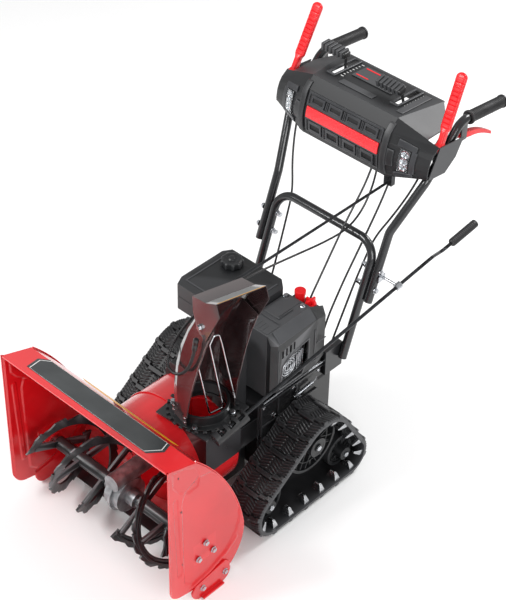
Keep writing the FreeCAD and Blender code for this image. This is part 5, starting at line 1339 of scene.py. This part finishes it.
@dataclass
class EngineDress:
    """What the engine's covers carry: ribs, vents, an exhaust guard, a fluted cap and hoses."""

    shroud_top: float = 567.8
    side: float = 178.0
    cap: tuple = (-112.0, 665.0, 585.0)
    tank: tuple = (-174.0, 58.0, 500.0, 715.0)

    def build(self) -> None:
        """Ribs on the shroud, seams on the side cover, guard ribs, tank lines, cap and starter vents."""
        top = self.shroud_top
        ribs = [block((70 + 13 * k, 534, top - 0.5), (74 + 13 * k, 572 - 3 * k, top + 1.8)) for k in range(5)]
        ribs += [block((72, 600, top - 0.5), (126, 604, top + 1.6)),
                 block((122, 604, top - 0.5), (126, 656, top + 1.6)),
                 block((70, 585, top - 0.5), (142, 588, top + 1.2))]
        piece("shroud_ribs", *gathered(ribs), CHARCOAL_ABS, "machine", 0.7)
        x = self.side
        seams = [block((x - 0.5, 690, 420), (x + 1.8, 694, 506)),
                 block((x - 0.5, 676, 392), (x + 1.8, 720, 396)),
                 block((x - 0.5, 548, 366), (x + 1.8, 672, 370)),
                 block((x - 0.5, 700, 452), (x + 1.6, 738, 456)),
                 block((x - 0.5, 544, 374), (x + 1.6, 548, 520))]
        piece("cover_seams", *gathered(seams), CHARCOAL_ABS, "machine", 0.7)
        guard = [block((159, 566 + 11 * k, 384), (163.5, 571 + 11 * k, 444)) for k in range(8)]
        guard += [block((159, 560, 378), (162.5, 660, 383)), block((159, 560, 445), (162.5, 660, 450))]
        piece("exhaust_ribs", *gathered(guard), CAST, "machine", 1.0)
        # Thin black blocks between the guard ribs: painted shade of the slots.
        pits = [block((160.1, 573 + 11 * k, 398), (160.6, 575.5 + 11 * k, 432)) for k in range(7)]
        piece("exhaust_slots", *gathered(pits), OPENING_SHADE_BLACK, "machine")
        cables = []
        for k in range(3):
            turn = np.linspace(0, 1, 40)[:, None]
            path = np.array([152, 668 - 8 * k, 470]) * (1 - turn) + np.array([150, 700 - 6 * k, 400]) * turn
            path = path + np.array([[1, 0, 0]]) * 6 * np.sin(math.pi * turn)
            path = path + np.array([[0, 1, 0]]) * 9 * np.sin(FULL_TURN * turn + k)
            cables.append(tube_along(path, circle(3.0, 12)))
        piece("engine_hoses", *gathered(cables), CABLE_VINYL, "machine")
        x, y, z = self.cap
        lobes, rows = 9, 15
        turn = round_turn(144)
        shape = np.array([(1.5, 19.6), (1.5, 27.5), (3, 29.5), (6, 30), (16, 30), (20, 28.5), (22, 25),
                          (22.5, 20), (21.5, 18), (21.5, 12), (24, 10), (26, 8), (26.6, 4), (26.8, 1),
                          (26.8, 0.01)])
        depth = np.interp(shape[:, 0], [0, 3, 18, 23], [0, 2.6, 2.6, 0])
        flute = np.clip(np.cos(turn * lobes), -0.2, 1)[None, :] * depth[:, None]
        radius = np.maximum(shape[:, 1:] + np.where(shape[:, 1:] > 20, flute, 0), 0.01)
        points = np.stack([x + radius * np.cos(turn), y + radius * np.sin(turn),
                           np.broadcast_to(z + shape[:, :1], radius.shape)], -1)
        cap = piece("fuel_cap.fluted", points.reshape(-1, 3), grid_faces(rows, 144, wrap_columns=True),
                    DARK_ABS, "cap",
                    smooth=40)
        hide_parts("fuel_cap")
        low_x, high_x, low_y, high_y = self.tank
        lines = [block((low_x + 24, low_y + 26, z - 0.4), (high_x - 24, low_y + 30, z + 1.6)),
                 block((low_x + 24, high_y - 30, z - 0.4), (-150, high_y - 26, z + 1.6)),
                 block((low_x + 20, low_y + 26, z - 0.4), (low_x + 24, high_y - 26, z + 1.6)),
                 block((high_x - 24, low_y + 26, z - 0.4), (high_x - 20, high_y - 26, z + 1.6))]
        lines += [block((-60 + 22 * k, low_y + 44, z - 0.4),
                        (-52 + 22 * k, low_y + 96, z + 2.2)) for k in range(4)]
        piece("tank_ribs", *gathered(lines), DARK_ABS, "machine", 0.8)
        seam = [block((low_x - 1.2, low_y + 34, 538), (low_x + 2, high_y - 28, 543)),
                block((low_x + 18, low_y - 1.5, 538), (high_x - 20, low_y + 2, 543)),
                block((low_x + 20, high_y - 2, 538), (high_x - 32, high_y + 1.5, 543))]
        piece("tank_seam", *gathered(seam), DARK_ABS, "machine", 0.8)
        # Black bars on the starter cover: painted shade of its vents.
        vents = []
        for k in range(10):
            angle = FULL_TURN * k / 10 + 0.2
            a = np.array([-12 + 30 * math.cos(angle), 706.2, 432 + 30 * math.sin(angle)])
            b = np.array([-12 + 60 * math.cos(angle + 0.3), 706.2, 432 + 60 * math.sin(angle + 0.3)])
            vents.append(tube_along(np.array([a, b]), circle(3.2, 8)))
        piece("starter_vents", *gathered(vents), OPENING_SHADE_BLACK, "machine")


@dataclass
class ChuteDress:
    """The deflector's label and line, hems along the chute's edges, and clamp rivets."""

    hem: tuple = ((432.0, 43.0, 75.5), (505.0, 58.0, 74.0), (578.0, 78.0, 72.0), (657.0, 101.0, 69.5),
                  (735.0, 128.0, 67.0), (818.0, 164.0, 64.5))

    def build(self) -> None:
        """Label and line on the deflector's roof, clamp rivets, and hems along the chute's edges."""
        rise = np.array([-32.0, 0, 50.0]) / math.hypot(32, 50)
        roof = [(140, 893), (184, 921)]
        face = on_chute(np.array([(s, t, z + 1.2) for s, z in roof for t in
                                         ((-58, 58) if s == 140 else (58, -58))]))
        lift = on_chute(rise[None, :])[0] - on_chute(np.zeros((1, 3)))[0]
        piece("deflector_label", *slab(face, lift * 0.8), LABEL_GREY, "deflector", 0.2)
        line = on_chute(np.array([(184.5, -66, 922.6), (184.5, 66, 922.6), (187.0, 66, 924.6),
                                  (187.0, -66, 924.6)]))
        piece("deflector_line", *slab(line, lift * 1.0), LABEL_YELLOW, "deflector")
        hems = []
        heights = np.linspace(436, 816, 50)
        table = np.array(self.hem)
        for side in (-1, 1):
            path = np.column_stack([np.interp(heights, table[:, 0], table[:, 1]),
                                    side * (np.interp(heights, table[:, 0], table[:, 2]) - 1.0), heights])
            hems.append(tube_along(on_chute(path), circle(1.9, 10)))
        piece("chute_hems", *gathered(hems), GLOSS_BLACK, "chute")
        rivets = []
        for side in (-1, 1):
            for s, z in ((-24, 412), (-24, 426), (34, 412), (34, 426)):
                seat = on_chute(np.array([[s, side * 75.6, z]]))[0]
                out = on_chute(np.array([[0, side, 0]]))[0] - on_chute(np.zeros((1, 3)))[0]
                rivets.append(turned([(-0.5, 0.01), (-0.5, 4.4), (0.8, 4.2), (2.0, 2.8), (2.5, 0.01)], seat,
                                     out, 20))
        piece("chute_rivets", *gathered(rivets), ZINC, "chute")


@dataclass
class AugerRibs:
    """A raised spine and cut teeth along each rolled flight."""

    axis: tuple = (135.0, 165.0)
    radius: float = 124.0
    wide: float = 30.0
    start: float = 62.0
    length: float = 205.0
    turns: float = 0.9

    def ribbon(self, begin: float, low: float, high: float, thick: float, bite: float) -> Shape:
        """A helix strip between two radii, whose outer edge is cut by a sawtooth in the turn.

        Args:
            begin: Its first angle.
            low: The inner radius.
            high: The outer radius.
            thick: How wide the strip is along the shaft.
            bite: How deep the teeth are.

        Returns:
            Points and faces.
        """
        count = 181
        share = np.linspace(0.0, 1.0, count)
        angle = begin + share * self.turns * FULL_TURN
        x = self.start + 4 + share * (self.length - 8)
        saw = bite * ((share * self.turns * 10) % 1.0)
        outer = high - saw
        rings = []
        for radius, shift in ((low, 0.0), (outer, 0.0), (outer, thick), (low, thick)):
            radius = np.broadcast_to(radius, angle.shape)
            rings.append(np.stack([x + shift, self.axis[0] + radius * np.cos(angle),
                                   self.axis[1] + radius * np.sin(angle)], -1))
        points = np.stack(rings, 1).reshape(-1, 3)
        last = 4 * (count - 1)
        caps = [[3, 2, 1, 0], [last, last + 1, last + 2, last + 3]]
        return points, grid_faces(count, 4, wrap_columns=True) + caps

    def build(self) -> None:
        """Two spines and two toothed rims on each auger."""
        parts = []
        for begin in (math.radians(200), math.radians(20)):
            parts.append(self.ribbon(begin, self.radius - 18, self.radius - 0.5, 7.0, 14.0))
            parts.append(self.ribbon(begin, self.radius - 20, self.radius - 13, 9.5, 0.0))
            parts.append(self.ribbon(begin, self.radius - self.wide, self.radius - self.wide + 5, 7.5, 0.0))
        piece("auger_ribs", *both_sides(parts), AUGER_COAT, "auger", 0.7, smooth=25)


@dataclass
class PaddleRibs:
    """Raised finger ribs round the two dash paddles."""

    top: float = 1052.0
    pivot: float = 925.0
    sticks: tuple = (("speed", -121.0, 1119.0, 0.0), ("pitch", 100.0, 1124.0, 14.0))

    def build(self) -> None:
        """Six rounded bands a paddle, leaned with it about its pivot."""
        for body, x, y, lean in self.sticks:
            bands = [block((x - 79 + 13.5 * k, y - 16, self.top - 6),
                           (x - 70 + 13.5 * k, y + 16, self.top + 17))
                     for k in range(6)]
            points, faces = gathered(bands)
            a = math.radians(lean)
            dy, dz = points[:, 1] - y, points[:, 2] - self.pivot
            turned_y = y + dy * math.cos(a) - dz * math.sin(a)
            turned_z = self.pivot + dy * math.sin(a) + dz * math.cos(a)
            points = np.column_stack([points[:, 0], turned_y, turned_z])
            piece(f"paddle_ribs_{body}", points, faces, CHARCOAL_ABS, body, 2.2)


@dataclass
class FrameDress:
    """What is fixed to the frame's sides: flanges, slots, bolts, springs and a tie rod."""

    side: float = 150.0
    front: float = 500.0
    rear: float = 800.0

    def spring(self, start: tuple, end: tuple, radius: float, turns: int) -> Shape:
        """A wire wound round the line between two points.

        Args:
            start: The first point.
            end: The last point.
            radius: The winding's radius.
            turns: How many turns it has.

        Returns:
            Points and faces.
        """
        a, b = np.array(start, float), np.array(end, float)
        aim = unit(b - a)
        side = unit(np.cross(aim, [1.0, 0, 0]))
        other = np.cross(aim, side)
        share = np.linspace(0, 1, turns * 14)[:, None]
        turn = share * turns * FULL_TURN
        path = a + (b - a) * share + radius * (np.cos(turn) * side + np.sin(turn) * other)
        return tube_along(path, circle(1.1, 6))

    def build(self) -> None:
        """Both sides alike."""
        x = self.side
        flanges = [block((x - 0.5, self.front + 4, 322), (x + 9, self.rear - 6, 327)),
                   block((x - 0.5, self.front + 4, 240), (x + 5, self.rear - 60, 246)),
                   block((x - 0.5, self.front + 6, 120), (x + 7, self.front + 12, 326)),
                   block((x - 0.5, 650, 246), (x + 5, 656, 322)),
                   block((x - 0.5, 576, 246), (x + 5, 582, 322))]
        piece("frame_flanges", *both_sides(flanges), BLACK_COAT, "machine", 1.2)
        # Thin black blocks on the frame: painted shade of its slots.
        slots = [block((x, 524 + 74 * k, 268), (x + 0.5, 562 + 74 * k, 278)) for k in range(4)]
        slots += [block((x, 530 + 74 * k, 294), (x + 0.5, 556 + 74 * k, 302)) for k in range(4)]
        piece("frame_slots", *both_sides(slots), OPENING_SHADE_BLACK, "machine")
        heads = []
        for y, z in ((520, 312), (564, 258), (638, 312), (668, 258), (742, 312), (786, 300), (786, 350),
                     (520, 140)):
            heads.append(turned([(-0.5, 8.5), (1.0, 8.5), (1.4, 7.6)], (x, y, z), (1, 0, 0), 32))
            heads.append(turned([(-0.5, 0.01), (1.0, 6.0), (5.6, 6.0), (6.6, 5.0), (6.6, 0.01)], (x, y, z),
                                (1, 0, 0), 6))
        piece("frame_bolts", *both_sides(heads), ZINC, "machine", 0.3, smooth=25)
        tie = tube_along(np.array([[158, 512, 336.0], [158, 600, 340], [158, 700, 341], [158, 768, 338]]),
                         circle(3.2, 12))
        coil = self.spring((160, 640, 281), (160, 712, 288), 5.0, 22)
        hook = tube_along(np.array([[160, 712, 288.0], [160, 724, 290], [156, 732, 296]]), circle(1.3, 8))
        piece("frame_tie_rods", *both_sides([tie, coil, hook]), ZINC, "machine")


@dataclass
class ExhaustDress:
    """The bright exhaust behind the side cover's window, and panels laid on the cover's faces."""

    place: tuple = (600.0, 420.0)

    def build(self) -> None:
        """A ringed outlet with fins, a lighter chamfer strip as a painted highlight, and a raised window rim.
        """
        y, z = self.place
        rings = [turned([(0, r - 2.2), (5, r - 2.2), (6, r), (5, r + 2.2), (0, r + 2.2), (0, r - 2.2)],
                        (160, y, z),
                        (1, 0, 0), 48) for r in (12.0, 20.0, 28.0)]
        rings += [block((160, 632 + 8 * k, 392 + 2 * k), (167, 635.5 + 8 * k, 446 + 3 * k)) for k in range(4)]
        piece("exhaust_rings", *gathered(rings), ZINC, "machine", 0.8)
        # A black disc in the outlet: painted shade of its bore.
        piece("exhaust_outlet", *turned([(0.2, 0.01), (0.2, 9.5), (1.2, 9.5), (1.2, 0.01)], (160, y, z),
                                        (1, 0, 0), 32),
              OPENING_SHADE_BLACK, "machine")
        # A lighter grey strip on the cover's chamfer: painted highlight.
        corners = np.array([[150.6, 548, 567.0], [150.6, 694, 567.0], [177.8, 694, 539.8],
                            [177.8, 548, 539.8]])
        lift = np.array([1.0, 0, 1.0]) / math.sqrt(2)
        piece("cover_chamfer_highlight", *slab(corners, lift * 1.4), VENT_ABS, "machine", 0.6)
        line = [(553, 376), (563, 455), (609, 480), (668, 490), (668, 418), (642, 376)]
        rim = [tube_along(np.array([[178.4, a[0], a[1]], [178.4, b[0], b[1]]], float), circle(1.9, 8))
               for a, b in zip(line, line[1:] + line[:1])]
        piece("window_rim", *gathered(rim), CHARCOAL_ABS, "machine")
        plates = [block((66, 532, 565.6), (146, 580, 568.0)), block((70, 600, 565.6), (118, 694, 567.6))]
        piece("shroud_plates", *gathered(plates), CHARCOAL_ABS, "machine", 0.9)


@dataclass
class DeflectorCable:
    """The deflector's cable: a plain run to the stay, then a ribbed sleeve that follows the chute."""

    radius: float = 3.0
    rib_pitch: float = 5.4
    plain: tuple = ((100, 1014, 876), (100, 1008, 832), (100, 992, 780), (102, 952, 726), (104, 890, 700),
                    (105, 800, 708), (105, 690, 728), (105, 560, 752), (104, 444, 765), (104, 408, 764))
    wound: tuple = ((-36, 56, 744), (-58, 34, 700), (-72, -6, 644), (-66, -50, 604), (-40, -86, 578),
                    (-4, -92, 566),
                    (40, -86, 590), (74, -82, 640), (92, -81, 690), (100, -81, 722), (106, -81, 748))

    def rounded(self, points: np.ndarray, times: int = 3) -> np.ndarray:
        """Round a line: each corner is cut at a quarter of its runs, a few times over.

        Args:
            points: The line's corners.
            times: How many times they are cut.

        Returns:
            The rounded line's points.
        """
        for _ in range(times):
            near, far = points[:-1], points[1:]
            cut = np.stack([near * 0.75 + far * 0.25, near * 0.25 + far * 0.75], 1).reshape(-1, 3)
            points = np.vstack([points[:1], cut, points[-1:]])
        return points

    def ribbed(self, path: np.ndarray) -> Shape:
        """A sleeve whose radius follows a raised sine of the distance along the path.

        Args:
            path: The line that it follows.

        Returns:
            Points and faces.
        """
        gone = np.r_[0, np.cumsum(np.linalg.norm(np.diff(path, axis=0), axis=1))]
        even = np.linspace(0, gone[-1], int(gone[-1] / 0.9))
        line = np.stack([np.interp(even, gone, path[:, k]) for k in range(3)], -1)
        points, faces = tube_along(line, circle(1.0, 12))
        rings = points[:len(line) * 12].reshape(len(line), 12, 3)
        swell = self.radius + 0.7 + 0.7 * np.sin(even * FULL_TURN / self.rib_pitch)
        rings = line[:, None, :] + (rings - line[:, None, :]) * swell[:, None, None]
        points = points.copy()
        points[:len(line) * 12] = rings.reshape(-1, 3)
        return points, faces

    def build(self) -> None:
        """The run to the stay on the machine, and the sleeve between the stay and the chute."""
        tube = tube_along(self.rounded(np.array(self.plain, float)), circle(self.radius, 12))
        run = piece("deflector_cable_run", *tube, CABLE_VINYL, "machine")
        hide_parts("deflector_cable")
        path = self.rounded(np.vstack([[self.plain[-1]], on_chute(self.wound)]))
        sleeve = piece("deflector_cable_sleeve", *self.ribbed(path), CABLE_VINYL, "")
        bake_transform(sleeve)
        boot = turned([(-32, 3.9), (-30, 6.6), (-12, 7.2), (-10, 5.9), (-4, 5.9), (-2, 7.2), (10, 7.2),
                       (14, 5.0),
                       (14, 0.01)], path[-1], path[-1] - path[-5], 24)
        piece("deflector_cable_boot", *boot, CABLE_VINYL, "chute", 0.5)


@dataclass
class CarriedOver:
    """Frame nodes whose shape is right: they keep it and get rounded edges and a finish."""

    plan: dict = field(default_factory=lambda: {
        "housing_wall": (RED_COAT, 0.0), "impeller_drum": (RED_COAT, 0.0), "scraper_blade": (BLACK_COAT, 0.8),
        "skid_shoes": (RED_COAT, 1.5), "hex_bolts": (ZINC, 0.5), "auger_bearings": (RED_COAT, 1.0),
        "gearbox_case": (CAST, 2.0), "chute_base": (BLACK_COAT, 1.2), "worm_cage": (DARK_ABS, 0.6),
        "belt_cover": (BLACK_COAT, 2.0), "chassis": (BLACK_COAT, 2.0), "engine_block": (BLACK_COAT, 0.8),
        "muffler_guard": (CAST, 1.2), "engine_shroud": (CHARCOAL_ABS, 3.0), "side_cover": (CHARCOAL_ABS, 2.5),
        "fuel_tank": (DARK_ABS, 5.0), "recoil_housing": (CHARCOAL_ABS, 2.0), "lower_handle": (TUBE_COAT, 0.0),
        "upper_handles": (TUBE_COAT, 0.0), "crank_eye": (ZINC, 0.6), "dash_bezel": (CHARCOAL_ABS, 2.0),
        "dash_top": (CHARCOAL_ABS, 1.0), "lever_brackets": (BLACK_COAT, 0.6), "cable_stay": (ROD_STEEL, 0.5),
        "control_cables": (CABLE_VINYL, 0.0), "auger_belts": (TRACK_RUBBER, 0.5),
        "track_frames": (BLACK_COAT, 1.0),
        "auger_shaft": (STEEL, 0.5), "auger_flights": (AUGER_COAT, 0.8), "worm_wheel": (BRONZE, 0.2),
        "impeller": (RED_COAT_SHADED, 0.8), "impeller_pulley": (STEEL, 0.5), "engine_pulley": (STEEL, 0.5),
        "chute_ring": (DARK_ABS, 1.0), "chute": (GLOSS_BLACK, 0.6), "chute_guard": (CHROME, 0.0),
        "chute_bolts": (ZINC, 0.5), "deflector_hood": (GLOSS_BLACK, 0.6), "crank_rod": (ROD_STEEL, 0.0),
        "drive_wheels": (DARK_ABS, 1.0), "front_idlers": (DARK_ABS, 1.0), "rear_idlers": (DARK_ABS, 1.0),
        "steer_trigger_left": (RED_NYLON, 1.5), "steer_trigger_right": (RED_NYLON, 1.5),
        "speed_lever": (DARK_ABS, 1.0), "deflector_lever": (DARK_ABS, 1.0), "fuel_knob": (RED_NYLON, 1.5),
        "choke_dial": (RED_NYLON, 1.2), "recoil_handle": (DARK_ABS, 2.0)})
    crisp: tuple = ("dash_bezel", "side_cover", "engine_shroud", "deflector_hood", "belt_cover", "chassis")
    crisp_angle: float = 6.0
    soft_angle: float = 30.0

    def build(self) -> None:
        """Finish every frame node that no other class builds again."""
        for node, (finish, bevel) in self.plan.items():
            refined(node, finish, bevel, self.crisp_angle if node in self.crisp else self.soft_angle)


@dataclass
class Studio:
    """Pale floor, soft lights and the camera."""

    centre: tuple = (0.0, 0.62, 0.5)
    azimuth: float = 42.744
    elevation: float = 39.873
    roll: float = 1.2009
    place: tuple = (2.4939, -2.0659, 3.6111)
    lens: float = 105.024
    floor_half: float = 60.0

    def floor(self) -> None:
        """A wide flat pale floor under the machine."""
        half = self.floor_half
        mesh = bpy.data.meshes.new("floor")
        mesh.from_pydata([(-half, -half, 0), (half, -half, 0), (half, half, 0), (-half, half, 0)], [],
                         [(0, 1, 2, 3)])
        paper, _, shader = blank("pale studio paper")
        shader.inputs["Base Color"].default_value = linear("FAFAFA")
        shader.inputs["Roughness"].default_value = 0.9
        mesh.materials.append(paper)
        placed("floor", mesh)

    def lamp(self, name: str, place: tuple, size: float, power: float) -> None:
        """One soft square light aimed at the machine.

        Args:
            name: The light's name.
            place: Where it stands, in metres.
            size: Its side, in metres.
            power: Its power, in watts.
        """
        data = bpy.data.lights.new(name, "AREA")
        data.size = size
        data.energy = power
        made = placed(name, data)
        made.location = place
        aim = Vector(self.centre) - Vector(place)
        made.rotation_mode = "QUATERNION"
        made.rotation_quaternion = aim.to_track_quat("-Z", "Y")

    def camera(self) -> None:
        """A long lens, looking down from the front left."""
        a, e, r = (math.radians(v) for v in (self.azimuth, self.elevation, self.roll))
        back = Vector((math.sin(a) * math.cos(e), -math.cos(a) * math.cos(e), math.sin(e)))
        right = Vector((math.cos(a), math.sin(a), 0))
        up = back.cross(right)
        right, up = right * math.cos(r) + up * math.sin(r), up * math.cos(r) - right * math.sin(r)
        data = bpy.data.cameras.new("camera")
        data.lens = self.lens
        data.sensor_width = 36.0
        made = placed("camera", data)
        turn = Matrix((right, up, back)).transposed()
        made.matrix_world = Matrix.Translation(self.place) @ turn.to_4x4()
        bpy.context.scene.camera = made

    def build(self) -> None:
        """Floor, lights, sky and camera."""
        self.camera()
        self.floor()
        self.lamp("key", (-1.6, -2.4, 3.4), 1.6, 125)
        self.lamp("fill", (3.4, -1.2, 2.2), 2.0, 78)
        self.lamp("rim", (0.6, 3.6, 3.2), 1.6, 100)
        world = bpy.data.worlds.new("studio")
        world.use_nodes = True
        world.node_tree.nodes["Background"].inputs["Color"].default_value = (1, 1, 1, 1)
        world.node_tree.nodes["Background"].inputs["Strength"].default_value = 0.5
        bpy.context.scene.world = world
        bpy.context.scene.view_settings.view_transform = "Standard"


def main() -> None:
    """Build every sub-assembly in order and report it."""
    logging.basicConfig(level=logging.INFO, format="%(message)s")
    Studio().build()
    CarriedOver().build()
    for assembly in (SidePlates(), HousingTrim(), DashFront(), DashTop(), ClutchLevers(), HandGrips(),
                     TrackBelts(),
                     TrackWheels(), EngineDress(), ChuteDress(), AugerRibs(), PaddleRibs(), FrameDress(),
                     ExhaustDress(), DeflectorCable()):
        assembly.build()


if __name__ == "__main__":
    main()
